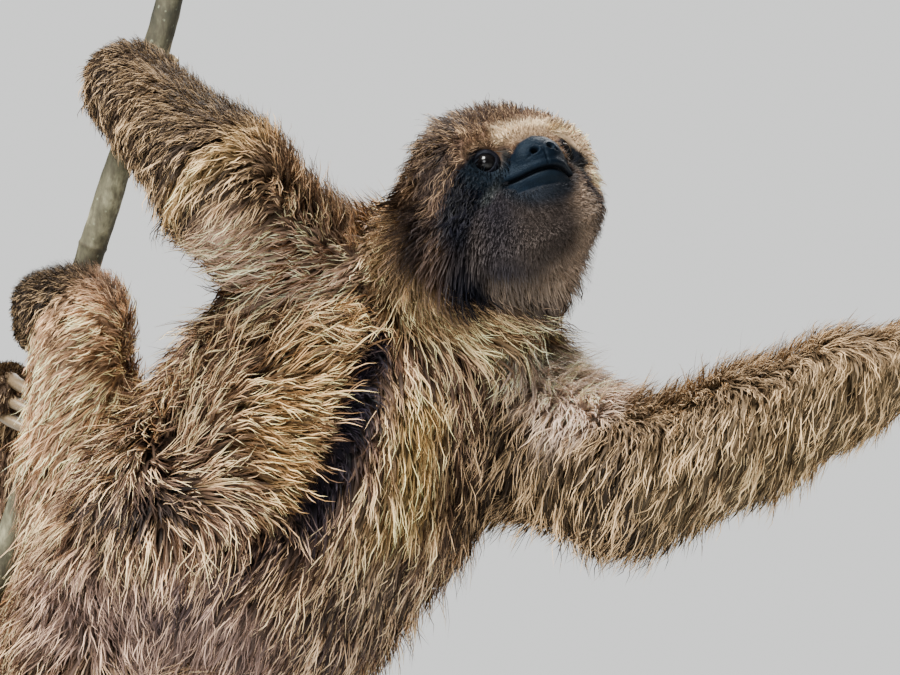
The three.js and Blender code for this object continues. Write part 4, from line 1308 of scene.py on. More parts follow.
@dataclass
class Skin:
    """The animal's one skin, with its face and lids."""

    body: Body
    markings: Markings
    coarse: float = 4.4
    fine: float = 1.3
    low: Point = (-170.0, -135.0, 75.0)
    high: Point = (365.0, 190.0, 455.0)
    face: tuple[Point, Point] = ((94.0, -112.0, 328.0), (160.0, -72.0, 396.0))
    rim: Colour = (20, 19, 25)          # the lids
    paws: tuple[Part, ...] = (Part.HAND_LEFT, Part.HAND_RIGHT, Part.FOOT_LEFT, Part.FOOT_RIGHT)
    finish: SkinFinish = SkinFinish()

    def _axis(self, n: int) -> Array:
        """Places the grid along an axis, closer together across the face.

        Args:
            n: the axis's number.

        Returns:
            The places.
        """
        a, b = self.face[0][n], self.face[1][n]
        before = np.linspace(self.low[n], a, int((a - self.low[n]) / self.coarse) + 1)[:-1]
        middle = np.linspace(a, b, int((b - a) / self.fine) + 1)
        after = np.linspace(b, self.high[n], int((self.high[n] - b) / self.coarse) + 1)[1:]
        return np.concatenate([before, middle, after])

    def net(self) -> Sheet:
        """Draws the skin's surface.

        Returns:
            Vertices and quads.
        """
        axes = [self._axis(n) for n in range(3)]
        values = np.empty([len(a) for a in axes])
        x, y = np.meshgrid(axes[0], axes[1], indexing="ij")
        for k, z in enumerate(axes[2]):
            p = np.stack([x.ravel(), y.ravel(), np.full(x.size, z)], 1)
            values[:, :, k] = self.body.distance(p).reshape(x.shape)
        vertices, quads = surface_net(axes, values)
        for _ in range(2):
            away, normal = self.body.slope(vertices)
            vertices = vertices - normal * np.clip(away, -1.5, 1.5)[:, None]
        return vertices, quads

    def _sunk(self, muzzle: Muzzle) -> Array:
        """Pushes the skin in where the sculpted muzzle covers it.

        Args:
            muzzle: the sculpted nose and mouth.

        Returns:
            The skin's vertices.
        """
        q = self.body.head.local(self.vertices)
        edge = muzzle.edge(q[:, 0], q[:, 2])
        _, normal = self.body.slope(self.vertices)
        return self.vertices - normal * (4.0 * ease(0.72, 0.5, edge) * ease(24.0, 28.0, q[:, 1]))[:, None]

    def build(self, muzzle: Muzzle, lids: Lids, eyes: Sequence[Gaze]) -> Object:
        """Makes the skin.

        Args:
            muzzle: the sculpted nose and mouth.
            lids: the lids' shape.
            eyes: where each eye looks from and to.

        Returns:
            The skin object.
        """
        self.vertices, self.quads = self.net()
        front, front_quads, left, up = muzzle.sheet(self.body)
        points, faces, starts = joined([(self._sunk(muzzle), self.quads), (front, front_quads)]
                                       + [lids.sheet(*eye) for eye in eyes])
        made = build_mesh("skin", points, faces)
        face, rims = slice(starts[1], starts[2]), slice(starts[2], None)
        bare = np.zeros(len(points))
        bare[face], bare[rims] = muzzle.bare(left - muzzle.lean, up), 1.0
        number, _, _ = self.body.nearest(points)
        _, normal = self.body.slope(points)
        colour, _ = self.markings.colours(points, normal, number)
        near = np.linalg.norm(self.body.head.local(points) - np.array(self.body.nose), axis=1)
        # Painted shade under the coat: the skin is dimmed away from the short-haired face, less on the paws,
        # not on the muzzle or lids.
        dim = 0.5 + 0.35 * ease(46.0, 30.0, near)
        dim[np.isin(number, self.body.numbers(*self.paws))] = 0.85
        dim[starts[1]:] = 1.0
        colour = colour * dim[:, None]
        colour[face] = self._lips(colour[face], muzzle, left, up)
        colour[rims] = linear(*self.rim)
        paint_vertices(made, "hide", colour)
        mark_vertices(made, "bare", bare)
        made.data.materials.append(self.finish.material())
        return made

    @staticmethod
    def _lips(colour: Array, muzzle: Muzzle, left: Array, up: Array) -> Array:
        """Tints the nose pad, with painted sheen, nostril and mouth shade and a lower-lip highlight.

        Args:
            colour: the colours so far.
            muzzle: the muzzle's sizes.
            left: places to the left.
            up: heights.

        Returns:
            The new colours.
        """
        x = left - muzzle.lean
        side, level, _ = muzzle.nostril
        line, rise, wide = muzzle.mouth
        fold = up - line - rise * x
        masks = [
            (muzzle.bare(x, up), (7, 15, 25), 1.0),
            # painted sheen: the top of the nose lighter, as light catches it
            (ease(0.0, 4.5, up) * ease(10, 4, np.abs(x)), (22, 32, 42), 0.5),
            # painted highlight: the lower lip lighter blue-grey, as light reflects on it
            (ease(2.8, 1.0, np.abs(fold + 2.6)) * ease(11.0, 4.0, np.abs(x - 2.0)), (18, 26, 34), 0.6),
            # painted shade in the crease of the mouth
            (ease(1.5, 0.5, np.abs(fold)) * ease(wide, wide - 3, np.abs(x)), (3, 4, 7), 0.97)]
        # painted shade in the nostrils' pits
        for s in (-1.0, 1.0):
            away = np.sqrt(((x - s * side) / 1.45) ** 2 + ((up - level) / 1.15) ** 2)
            masks.append((ease(1.25, 0.75, away), (6, 7, 9), 0.97))
        for share, tint, amount in masks:
            colour = tinted(colour, tint, share * amount)
        return colour


# ---- the coat


@dataclass(frozen=True)
class Fleece:
    """How the coat grows on one part."""

    lie: Point                  # the way that the hair lies
    length: float
    weight: float = 1.0         # how densely it grows
    width: float = 0.54         # of a strand
    wave: float = 1.0           # how far a strand swings
    hang: float = 0.3           # how freely it falls
    lift: float = 0.25          # how steeply it rises
    contrast: float = 1.0       # of tones, and the depth of painted shade at the roots


@dataclass
class Flow:
    """The lie of the coat near the skin, looked up in a coarse grid."""

    points: Array
    lie: Array
    cell: float = 7.0
    border: int = 6         # empty cells round the skin
    rounds: int = 5         # how often the lie spreads by a cell

    def __post_init__(self) -> None:
        """Fills the grid and spreads it outward."""
        edge = self.border * self.cell
        self.low = self.points.min(0) - edge
        self.size = np.ceil((self.points.max(0) + edge - self.low) / self.cell).astype(int) + 1
        grid = np.zeros((*self.size, 4))
        np.add.at(grid, self._cells(self.points), np.concatenate([self.lie, np.ones((len(self.lie), 1))], 1))
        for _ in range(self.rounds):
            around = grid * 0.4
            for axis in range(3):
                around += (np.roll(grid, 1, axis) + np.roll(grid, -1, axis)) * 0.1
            grid = grid + around * 0.08
        self.grid = grid

    def _cells(self, p: Array) -> Arrays:
        """Gives the grid cell of each point."""
        cells = np.clip(np.round((p - self.low) / self.cell).astype(int), 0, self.size - 1)
        return tuple(cells.T)

    def look(self, p: Array) -> Array:
        """Gives the lie at each point, or zero far from the skin."""
        found = self.grid[self._cells(p)]
        return unit(found[:, :3]) * (found[:, 3:] > 1e-6)


@dataclass(frozen=True)
class TuftShape:
    """A tuft's blade: its cross rows, their widths and the painted light and shade across them."""

    rows: tuple[int, ...]           # which of the tuft's five points have a cross row
    profile: tuple[float, ...]
    shade: tuple[float, ...]        # from edge to edge; a lighter ridge and darker edges are painted light and shade
    ridge: float = 0.0              # the middle's height as a share of the half width; flat if 0

    def faces(self) -> Array:
        """Makes one tuft's triangles.

        Returns:
            The triangles, from the root to the tip.
        """
        across, last = len(self.shade), (len(self.rows) - 1) * len(self.shade)
        found = []
        for a in (r + c for r in range(0, last, across) for c in range(across - 1)):
            found += [(a, a + 1, a + across + 1), (a, a + across + 1, a + across)]
        return np.array(found + [(last + c, last + c + 1, last + across) for c in range(across - 1)])


@dataclass
class Tufts:
    """A bundle of tufts as arrays: their paths, their sides and how wide and bright they are."""

    paths: Array      # tufts x 5 x 3, root first
    side: Array       # tufts x 3
    out: Array        # tufts x 3
    width: Array
    colour: Array     # tufts x 5 x 3
    place: Array      # tufts x 2, the root's place on the skin's unwrap
    piece: Array      # the part's number


@dataclass
class Coat:
    """Solid tufts over the skin: broad locks below and thin strands over them."""

    body: Body
    markings: Markings
    muzzle: Muzzle
    skin: Skin
    stem: Array
    locks: int = 43000
    strands: int = 148000
    # a lock's ridge is painted lighter and its edges darker, as light and shade fall across it
    lock: TuftShape = TuftShape((0, 1, 3), (0.75, 1.0, 0.62), (0.8, 1.12, 0.8), 0.55)
    strand: TuftShape = TuftShape((0, 1, 2, 3), (0.7, 1.0, 0.92, 0.62), (1.0, 1.0))
    heights: tuple[float, ...] = (0.0, 0.42, 0.76, 0.94, 1.0)   # how far up a hair's points are, at rest
    seed: int = 7
    batch: int = 6000               # hairs laid at once
    most: int = 185000              # triangles in one piece
    overlap: float = 5.0            # how far the coats of two parts run into each other
    columns: int = 5                # of parts on the unwrap
    patch: float = 0.003            # a tuft's size on it
    eye_gap: float = 9.2            # bare round the middle of an eye
    stem_gap: float = 7.5           # and round the stem's middle line
    lead: float = 0.36              # share of the locks that strands follow
    stray: float = 0.05             # share of the strands that stand up, a tenth of it on the head
    longer: float = 0.09            # share of the strands that may cross the dark stripe
    straw: Colour = (268, 226, 172)     # bleached hair, a little brighter than white light on it
    straw_share: float = 0.62
    finish: CoatFinish = CoatFinish()
    fleeces: dict[Part, Fleece] = field(default_factory=lambda: {
        Part.TRUNK: Fleece((-0.2, -0.6, -0.6), 30, contrast=1.45),
        Part.NECK: Fleece((0.1, -0.2, -1), 26, contrast=1.35),
        Part.SHOULDER_LEFT: Fleece((-0.95, -0.3, -0.15), 25, hang=0.12, contrast=1.3),
        Part.SHOULDER_RIGHT: Fleece((-0.5, -0.2, -0.85), 26, contrast=0.85),
        Part.UPPER_ARM_LEFT: Fleece((-1, -0.2, -0.08), 22, hang=0.12, contrast=1.1),
        Part.FOREARM_LEFT: Fleece((-0.6, -0.25, -0.75), 12, 1.5, 0.56, 1.2, 0.5, 0.25, 0.7),
        Part.HAND_LEFT: Fleece((-0.6, -0.3, -0.75), 4.5, 3.0, 0.38, 0.4, 0.2, 0.15, 0.35),
        Part.UPPER_ARM_RIGHT: Fleece((-0.3, -0.25, -0.95), 27, hang=0.7, contrast=0.85),
        Part.FOREARM_RIGHT: Fleece((-0.22, -0.25, -1), 21, 1.2, hang=0.85, contrast=1.05),
        Part.HAND_RIGHT: Fleece((-0.6, -0.1, -0.7), 5, 3.0, 0.38, 0.4, 0.2, 0.15, 0.35),
        Part.THIGH_LEFT: Fleece((-0.5, -0.3, -0.8), 23, hang=0.5, contrast=1.2),
        Part.SHIN_LEFT: Fleece((-0.85, -0.25, -0.5), 16, 1.3, hang=0.12, contrast=0.95),
        Part.FOOT_LEFT: Fleece((-0.8, -0.2, -0.5), 3.2, 3.2, 0.34, 0.4, 0.2, 0.1, 0.2),
        Part.THIGH_RIGHT: Fleece((-0.3, 0.1, -0.95), 22),
        Part.SHIN_RIGHT: Fleece((-0.3, 0.1, -0.95), 15, 1.2),
        Part.FOOT_RIGHT: Fleece((-0.3, 0.0, -0.95), 4.5, 2.8, 0.38, 0.4, 0.2, 0.15, 0.4),
        Part.TAIL: Fleece((-0.3, 0.3, -0.9), 14, 1.2, contrast=0.8),
        Part.HEAD: Fleece((0, 0, 0), 12, 3.6, 0.36, 0.7, 0.2, 0.3, 0.8)})
    strokes: tuple[tuple[float, float, float, float], ...] = (
        (70, 312, -0.9, -0.42), (50, 316, -0.9, -0.35), (10, 314, -0.85, -0.5), (31, 314, -0.9, -0.45),
        (-39, 307, -0.2, 0.98), (-41, 316, -0.5, 0.85), (-47, 322, -0.85, 0.4), (-54, 324, -1, 0),
        (-68, 323, -0.9, -0.4), (-78, 313, -0.45, -0.9), (-44, 297, -0.8, 0.5), (-50, 304, -1, 0.15),
        (-62, 303, -1, -0.15), (-74, 297, -0.85, -0.5), (-81, 286, -0.5, -0.85), (-46, 288, -0.95, 0.1),
        (-62, 280, -0.97, -0.25), (-77, 273, -0.85, -0.5), (-57, 269, -0.85, -0.5),
        (-70, 260, -0.75, -0.65), (-56, 254, -0.4, -0.9), (-83, 252, -0.5, -0.85),
        (-17, 301, -0.8, -0.6), (-5, 310, -0.8, -0.6), (7, 316, -0.85, -0.5), (-29, 296, -0.65, -0.75),
        (-24, 231, 0.9, -0.4), (-32, 235, 0.75, -0.65), (-38, 242, 0.5, -0.85), (-43, 252, 0.15, -1),
        (-44, 262, -0.1, -1), (-41, 274, -0.4, -0.9), (-33, 285, -0.6, -0.8), (-23, 293, -0.65, -0.75),
        (-48, 274, -0.3, -0.95), (-51, 261, 0, -1), (-49, 247, 0.1, -1), (-21, 240, 0.6, 0.8),
        (-17, 248, 0.65, 0.75), (-10, 254, 0.88, 0.45), (3, 256, 1, 0), (15, 252, 0.95, -0.25),
        (-23, 261, 0.4, 0.9), (-15, 268, 0.8, 0.55), (2, 271, 1, 0.08), (19, 269, 0.97, -0.15),
        (-31, 268, -0.3, -0.95), (-23, 279, -0.5, -0.87), (-9, 279, 0.72, 0.68), (4, 283, 0.85, 0.5),
        (21, 285, 0.9, 0.4), (36, 295, 0.9, 0.4), (-18, 233, 0.95, 0.25), (-6, 239, 0.98, 0.18),
        (10, 243, 1, 0), (25, 239, 1, -0.1), (-14, 228, 0.93, -0.35), (-1, 224, 0.95, -0.25),
        (15, 218, 0.98, -0.15), (-19, 221, 0.7, -0.7), (34, 276, 1, 0.1), (44, 286, 0.9, 0.3),
        (36, 263, 1, -0.05), (31, 252, 1, -0.1), (-36, 227, -0.1, -1), (-46, 231, -0.3, -0.95),
        (-55, 242, -0.45, -0.9), (-45, 216, -0.1, -1), (-64, 231, -0.4, -0.9), (-66, 214, -0.35, -0.93),
        (-28, 212, 0.15, -1), (-11, 206, -0.45, -0.9), (2, 205, -0.7, -0.7), (19, 204, -0.8, -0.6),
        (-77, 166, -0.7, -0.7), (-19, 170, -0.45, -0.9), (10, 174, -0.4, -0.92), (40, 174, -0.5, -0.87),
        (31, 190, -0.5, -0.85), (74, 199, -0.28, -0.96), (74, 246, -0.1, -1), (74, 280, 0.05, -1),
        (91, 212, -0.2, -0.98), (95, 259, -0.22, -0.97), (87, 288, -0.1, -1), (72, 331, 0.2, -0.98),
        (84, 314, 0.6, -0.8), (104, 300, 0.85, -0.5), (116, 288, -0.7, -0.7), (133, 282, -0.65, -0.75),
        (112, 259, -0.4, -0.92), (125, 237, -0.25, -0.97), (66, 250, -0.1, -1), (54, 225, -0.35, -0.9))
    reach: float = 8.5      # how far a stroke of the lie carries
    parting: tuple[tuple[float, float, float], ...] = (   # x, z and half width of the dark stripe
        (61, 312, 2.5), (62, 297, 4), (57, 279, 6.5), (53, 261, 7), (46, 240, 7), (33, 222, 6.5),
        (16, 206, 4.5))
    ruff_reach: float = 11.0
    ruff: tuple[tuple[float, ...], ...] = (   # a place, the lie's x and z and the length
        (64, -64, 350, 0.0, -1.0, 18), (70, -80, 330, 0.4, -0.9, 25), (82, -79, 316, 0.72, -0.7, 25),
        (95, -78, 306, 0.85, -0.53, 25), (110, -76, 299, 0.9, -0.42, 25), (126, -80, 296, 0.95, -0.3, 25),
        (73, -71, 369, -0.5, -0.85, 15), (78, -93, 357, -0.35, -0.93, 16), (84, -94, 349, -0.4, -0.9, 15),
        (76, -87, 341, 0.05, -1.0, 17), (84, -97, 361, -0.6, -0.8, 9), (89, -94, 340, -0.35, -0.93, 9))
    whorl: Point = (-40, 229, 13)     # x, z and reach of the unruly hollow beside the whorl

    def build(self) -> list[Object]:
        """Grows the coat.

        Returns:
            One object for each piece.
        """
        self.rng = np.random.default_rng(self.seed)
        self._survey()
        locks, seeds = self._grow_locks()
        strands = self._grow_strands(seeds)
        return self._pieces(locks, strands)

    def _survey(self) -> None:
        """Works out the coat's numbers at every vertex of the skin."""
        self.p = p = self.skin.vertices
        self.triangles = self.skin.quads[:, [0, 1, 2, 0, 2, 3]].reshape(-1, 3)
        _, self.normal = self.body.slope(p)
        parts = self.body.part_distances(p, 0.0)
        away = np.stack([parts[part] for part in self.body.flesh], 1)
        share = np.exp(-(away - away.min(1, keepdims=True)) / self.overlap)
        self.share = share = share / share.sum(1, keepdims=True)
        rows = [self.fleeces[part] for part in self.body.flesh]
        values = np.array([[f.length, f.weight, f.width, f.wave, f.hang, f.lift, f.contrast] for f in rows])
        (self.length, self.weight, self.width, self.wave, self.hang, self.lift,
         self.contrast) = (share @ values).T
        self.depth = np.maximum(-self.body.distance(p, 1.0), 0.5)
        self._lay()
        self._stroke_back()
        self._comb_head()
        self._trim()
        self.whole = self.length.copy()
        self._part_stripe()
        self._ruffle()
        self.flow = Flow(p, unit(self.lie - self.normal * dot(self.lie, self.normal) + 1e-6))
        self.lie += 1e-6

    def _lay(self) -> None:
        """Lays each part's hair, and turns it along the limb where it would run into the skin."""
        share = self.share
        lie = share @ np.array([unit(np.array(self.fleeces[part].lie, float)) for part in self.body.flesh])
        ways = np.array([unit((bones[-1].b - bones[0].a) * [1, 0.15, 1])
                         for bones in self.body.flesh.values()])
        uphill = -dot(self.normal, unit(lie)) * (1 - share[:, -1:])
        rising, falling = np.clip(uphill, 0, 1), np.clip(uphill, -0.4, 0)
        self.lie = (lie * (1.0 - 0.9 * rising) + unit(share @ ways) * (1.1 * rising + 0.75 * falling)
                    - np.array([0.0, 0.15, 0.0]) * rising)

    def _trim(self) -> None:
        """Makes the coat short and fine on top of the limbs, and short where few pale hairs grow."""
        limbs = 1.0 - self.share[:, self.body.numbers(Part.TRUNK, Part.NECK, Part.TAIL, Part.HEAD)].sum(1)
        top = ease(-0.05, 0.95, self.normal[:, 2]) * np.clip(limbs, 0, 1)
        number, _, _ = self.body.nearest(self.p)
        _, pale = self.markings.colours(self.p, self.normal, number)
        self.length *= 1.0 - 0.35 * top
        self.width *= 1.0 - 0.3 * top
        self.weight *= 1.0 + 0.9 * top
        self.contrast *= 1.0 - 0.75 * top
        self.lift *= 1.0 - 0.7 * top
        self.length *= 0.6 + 0.4 * np.minimum(pale, 1.0)

    def _ruffle(self) -> None:
        """Ruffles the hollow beside the whorl, and thickens the coat there and on the back."""
        x, z, reach = self.whorl
        back = self.normal[:, 1]
        gap = np.hypot(self.p[:, 0] - x, self.p[:, 2] - z)
        mess = ease(1.5 * reach, 0.5 * reach, gap) * ease(0.3, -0.2, back)
        self.unrest = 0.2 + 0.4 * mess
        self.weight = self.weight * (1.0 + 0.5 * mess) * (1.0 + 0.3 * ease(0.3, -0.5, back))

    def _part_stripe(self) -> None:
        """Shortens hairs that would run over the dark stripe on the back."""
        p, rows = self.p, np.array(self.parting, float)
        best = np.full(len(p), 1e3)
        near = np.zeros((len(p), 2))
        flat = p[:, [0, 2]]
        for a, b in zip(rows[:-1], rows[1:]):
            t, gap = from_line(flat, a[:2], b[:2])
            away = np.linalg.norm(gap, axis=1) - (a[2] + t * (b[2] - a[2]))
            closer = away < best
            best[closer], near[closer] = away[closer], -gap[closer]
        way = unit(self.lie[:, [0, 2]])
        heading = np.sum(unit(near) * way, 1)
        limit = np.maximum(best, 2.0) / np.maximum(heading, 0.12) + 3.0 + 3.5 * waves(p, 7.0, 41)
        touched = (self.normal[:, 1] < 0.2) & (best < 34.0)
        self.length = np.where(touched & (heading > 0), np.minimum(self.length, limit), self.length)
        inside = ease(2.0, -3.0, best) * (self.normal[:, 1] < 0.2)
        self.length = mixed(self.length, np.minimum(self.length, 9.0), inside)

    def _stroke_back(self) -> None:
        """Turns the lie along the strokes on the back and flank."""
        rows = np.array(self.strokes)
        near = closeness(self.p[:, [0, 2]], rows[:, :2], self.reach)
        flat = near @ rows[:, 2:]
        total = near.sum(1)
        allowed = sum(self.share[:, n] for n in self.body.numbers(
            Part.TRUNK, Part.NECK, Part.SHOULDER_LEFT, Part.SHOULDER_RIGHT, Part.THIGH_LEFT, Part.SHIN_LEFT))
        amount = np.clip(total * 5.0, 0, 1) * ease(0.35, -0.2, self.normal[:, 1]) * np.clip(allowed, 0, 1)
        way = np.stack([flat[:, 0], -0.12 * total, flat[:, 1]], 1) / np.maximum(total, 1e-6)[:, None]
        self.lie = mixed(self.lie, way, amount[:, None])

    def _comb_head(self) -> None:
        """Combs the head: away from the nose and the eyes, shortest on the face."""
        share = self.share[:, self.body.numbers(Part.HEAD)[0]]
        q = self.body.head.local(self.p)
        away = q - np.array(self.body.nose)
        near = np.linalg.norm(away, axis=1)
        way = unit(away) + np.array([0.0, -0.45, -0.1]) * ease(8, 40, near)[:, None]
        way += np.array([0.0, 0.1, -0.9]) * ease(-8.0, -24.0, q[:, 2])[:, None]
        side, forward, up = self.body.eye_place
        trim = np.ones(len(q))
        for s in (-1.0, 1.0):
            gap = q - np.array([s * side, forward, up])
            far = np.linalg.norm(gap, axis=1)
            way += unit(gap) * 3.0 * ease(16.0, 8.0, far)[:, None]
            trim *= 1.0 - 0.55 * ease(17.0, 9.0, far)
        self.lie = mixed(self.lie, way @ self.body.head.rows(), share[:, None])
        below = ease(-10.0, -20.0, q[:, 2]) * ease(-12.0, 0.0, q[:, 1])
        rows = np.array(self.ruff, float)
        close = closeness(self.p, rows[:, :3], self.ruff_reach)
        total = close.sum(1)
        sweep = np.stack([close @ rows[:, 3], -0.25 * total, close @ rows[:, 4]], 1)
        amount = np.clip(total * 1.6, 0, 1)
        self.lie = mixed(self.lie, sweep / np.maximum(total, 1e-6)[:, None], amount[:, None])
        length = 2.0 + 2.6 * ease(15, 30, near) + 6.4 * ease(32, 50, near) + 3.0 * ease(21, 31, q[:, 2])
        length *= (1.0 - 0.58 * below) * trim
        length += 12.0 * ease(-4, -30, q[:, 1]) + 2.0 * ease(-30, -40, q[:, 0]) * ease(12, 0, q[:, 1])
        combed = close @ rows[:, 5] / np.maximum(total, 1e-6)
        self.length = np.maximum(mixed(self.length, length, share), combed * amount * (1 - below))
        face = np.maximum(ease(38.0, 20.0, near), below) * share
        self.weight *= 1 + 0.9 * face
        self.width *= 1 - 0.3 * face
        self.contrast *= 1 - 0.78 * face
        curl = np.maximum(ease(16.0, 28.0, q[:, 2]),
                          ease(-30.0, -36.0, q[:, 0]) * ease(-14.0, -4.0, q[:, 2]))
        self.lift -= 0.16 * curl * share
        self.wave += 1.3 * curl * share
        self.curl = curl * share
        self.headed = share
        self.depth += share * (14.0 * ease(-27.0, -38.0, q[:, 0]) * ease(14.0, -2.0, q[:, 1])
                               + 1.8 * ease(24.0, 34.0, q[:, 2]))

    def _pick(self, values: Array) -> Array:
        """Mixes values of the skin's vertices at the roots that were sown."""
        return np.einsum("nk,nk...->n...", self.mixing, values[self.corners])

    def _sow(self, count: int) -> Array:
        """Chooses roots over the skin, evenly by weight, and keeps them off bare places.

        Args:
            count: the number of roots to choose.

        Returns:
            The roots.
        """
        a, b, c = (self.skin.vertices[self.triangles[:, n]] for n in range(3))
        area = 0.5 * np.linalg.norm(np.cross(b - a, c - a), axis=1)
        total = np.cumsum(area * self.weight[self.triangles].mean(1))
        marks = (np.arange(count) + self.rng.random(count)) / count * total[-1]
        chosen = np.minimum(np.searchsorted(total, marks), len(self.triangles) - 1)
        u, v = self.rng.random(count), self.rng.random(count)
        over = u + v > 1
        u[over], v[over] = 1 - u[over], 1 - v[over]
        self.corners = self.triangles[chosen]
        self.mixing = np.stack([1 - u - v, u, v], 1)
        roots = self._pick(self.skin.vertices)
        keep = self._grows(roots)
        self.corners, self.mixing = self.corners[keep], self.mixing[keep]
        return roots[keep]

    def _grows(self, p: Array) -> Array:
        """Keeps the coat off the nose and lips, the eyes and the stem.

        Args:
            p: roots on the skin.

        Returns:
            True for each root that may grow.
        """
        q = self.body.head.local(p)
        margin = self.muzzle.margin(q[:, 0] - self.muzzle.lean, q[:, 2])
        bare = (q[:, 1] > 28.0) & (margin > 1.6 + 1.8 * waves(p, 1.8, 51))
        for eye in self.body.eyes:
            bare |= np.linalg.norm(p - eye, axis=1) < self.eye_gap
        for a, b in zip(self.stem[:-1], self.stem[1:]):
            near = np.all(np.abs(p - (a + b) / 2) < 30.0, axis=1)
            bare[near] |= np.linalg.norm(from_line(p[near], a, b)[1], axis=1) < self.stem_gap
        return ~bare

    def _march(self, roots: Array, length: Array, rise: Array) -> Array:
        """Lays hairs along the body from their roots.

        Args:
            roots: the roots on the skin.
            length: each hair's length.
            rise: how near the coat's outer surface each hair's tip comes, from 0 to 1.

        Returns:
            Five points of each hair.
        """
        normal, lie = unit(self._pick(self.normal)), self._pick(self.lie)
        depth, hang, lift, unrest = (self._pick(v) for v in (self.depth, self.hang, self.lift, self.unrest))
        paths = np.empty((len(roots), 5, 3))
        for start in range(0, len(roots), self.batch):
            s = slice(start, start + self.batch)
            n, v = normal[s], lie[s]
            flat = unit(v - n * dot(v, n))
            turn = (unrest[s] * self.rng.normal(size=len(n)))[:, None]
            flat = flat * np.cos(turn) + np.cross(n, flat) * np.sin(turn)
            way = unit(flat + n * (lift[s] * (1.0 + self.rng.normal(size=len(n)).clip(-1, 2)))[:, None])
            bend = self.rng.normal(size=(len(n), 1)) * 0.11
            paths[s, 0] = roots[s] - n * 0.7
            p = roots[s]
            for k in range(1, 5):
                ahead = p + way * (length[s] / 4)[:, None]
                away, n = self.body.slope(ahead)
                gap = depth[s] * rise[s] * self.heights[k] - away
                free = hang[s] * ease(0.35, -0.3, n[:, 2])
                push = np.where(gap > 0, gap * 0.85, gap * (0.8 - 0.76 * free))
                ahead = ahead + n * np.clip(push, -6, 6)[:, None]
                flow = self.flow.look(ahead)
                flow = unit(flow - n * dot(flow, n))
                went = unit(ahead - p)
                way = unit(went * 0.62 + flow * 0.38 + np.array([0, 0, -0.35]) * free[:, None]
                           + np.cross(n, went) * bend)
                paths[s, k] = p = ahead
        return paths

    def _grow_locks(self) -> tuple[Tufts, dict[str, Array]]:
        """Grows the broad locks and picks the ones that strands follow.

        Returns:
            The locks and the leading paths with their tones.
        """
        rng = self.rng
        roots = self._sow(self.locks)
        count = len(roots)
        normal = unit(self._pick(self.normal))
        length = self._pick(self.length) * rng.uniform(0.6, 1.2, count)
        rise = rng.uniform(0.35, 1.0, count)
        paths = self._march(roots, length, rise)
        number, turn, share = self.body.nearest(roots)
        colour, pale = self.markings.colours(roots, normal, number)
        tone = rng.random(count)
        bold = self._pick(self.contrast)
        # Painted shade: the locks under the strands are darkened, most where pale hairs grow, and darker
        # still toward the root; the spread by tone is the hair's own.
        calm = 1.0 - 0.42 * np.clip(pale * bold, 0, 1.2)
        tip = colour * (calm * (1.0 - bold * (0.55 - 0.6 * tone)))[:, None]
        steps = 1.0 - np.clip(bold, 0.25, 1.25)[:, None] * np.array([0.72, 0.5, 0.25, 0.05, 0.0])
        shades = np.maximum(tip[:, None, :] * steps[:, :, None], 0.004)
        width = self._pick(self.width) * rng.uniform(2.4, 4.4, count) * np.clip(length / 16.0, 0.45, 1.0)
        side = self._sides(paths, normal, 0.25)
        lead = rng.random(count) < self.lead - 0.22 * self._pick(self.curl)
        seeds = {"path": paths[lead], "root": roots[lead], "tone": rng.random(int(lead.sum())),
                 "phase": rng.uniform(0, 6.28, int(lead.sum())), "rise": rise[lead]}
        return Tufts(paths, side, normal, width, shades, self._unwrap(number, turn, share), number), seeds

    def _sides(self, paths: Array, normal: Array, roll: float) -> Array:
        """Finds each tuft's sideways direction, with some random roll.

        Args:
            paths: the tufts' points.
            normal: outward directions at their roots.
            roll: how far they roll, in radians.

        Returns:
            Unit directions.
        """
        way = unit(paths[:, 3] - paths[:, 0])
        side = unit(np.cross(way, normal))
        angle = self.rng.normal(size=len(side)) * roll
        return unit(side * np.cos(angle)[:, None] + normal * np.sin(angle)[:, None])

    def _grow_strands(self, seeds: dict[str, Array]) -> Tufts:
        """Grows the thin strands, gathered along the leading locks.

        Args:
            seeds: the leading paths with their tones.

        Returns:
            The strands.
        """
        rng = self.rng
        roots = self._sow(self.strands)
        count = len(roots)
        normal = unit(self._pick(self.normal))
        tree = KDTree(len(seeds["root"]))
        for n, p in enumerate(seeds["root"]):
            tree.insert(p, n)
        tree.balance()
        owner = np.array([tree.find(p)[1] for p in roots])
        lead, base = seeds["path"][owner], seeds["root"][owner]
        s = np.linspace(0, 1, 5)[None, :, None]
        gap = (roots - base)[:, None, :]
        close = rng.uniform(0.1, 0.75, count)[:, None, None]
        lead_length = np.linalg.norm(lead[:, 4] - lead[:, 0], axis=1)
        over = rng.random(count) < self.longer
        own = np.where(over, self._pick(self.whole), self._pick(self.length))
        stretch = own * rng.uniform(0.7, 1.15, count) / np.maximum(lead_length, 1.0)
        paths = (roots - normal * 0.6)[:, None, :] + (lead - lead[:, :1]) * stretch[:, None, None]
        paths = paths - gap * close * s ** 1.5
        stray = (rng.random(count) < self.stray * (1.0 - 0.9 * self._pick(self.headed)))[:, None, None]
        depth = self._pick(self.depth)[:, None, None]
        lift = rng.normal(size=count)[:, None, None] * 0.14 + 0.1 + stray * 0.5
        paths = paths + normal[:, None, :] * (depth * lift * s ** 1.3)
        side = self._sides(paths, normal, 0.55)
        wave = self._pick(self.wave)[:, None, None]
        phase = seeds["phase"][owner][:, None, None] + rng.normal(size=count)[:, None, None] * 0.7
        turns = np.clip(self._pick(self.length) / 9.0, 1.0, 2.6)[:, None, None]
        swing = np.sin(phase + s * turns * 3.14 * 1.3) - np.sin(phase)
        drift = rng.normal(size=count)[:, None, None] * 0.12 * self._pick(self.length)[:, None, None]
        paths = paths + side[:, None, :] * (wave * swing * s + drift * s ** 2)
        number, turn, share = self.body.nearest(roots)
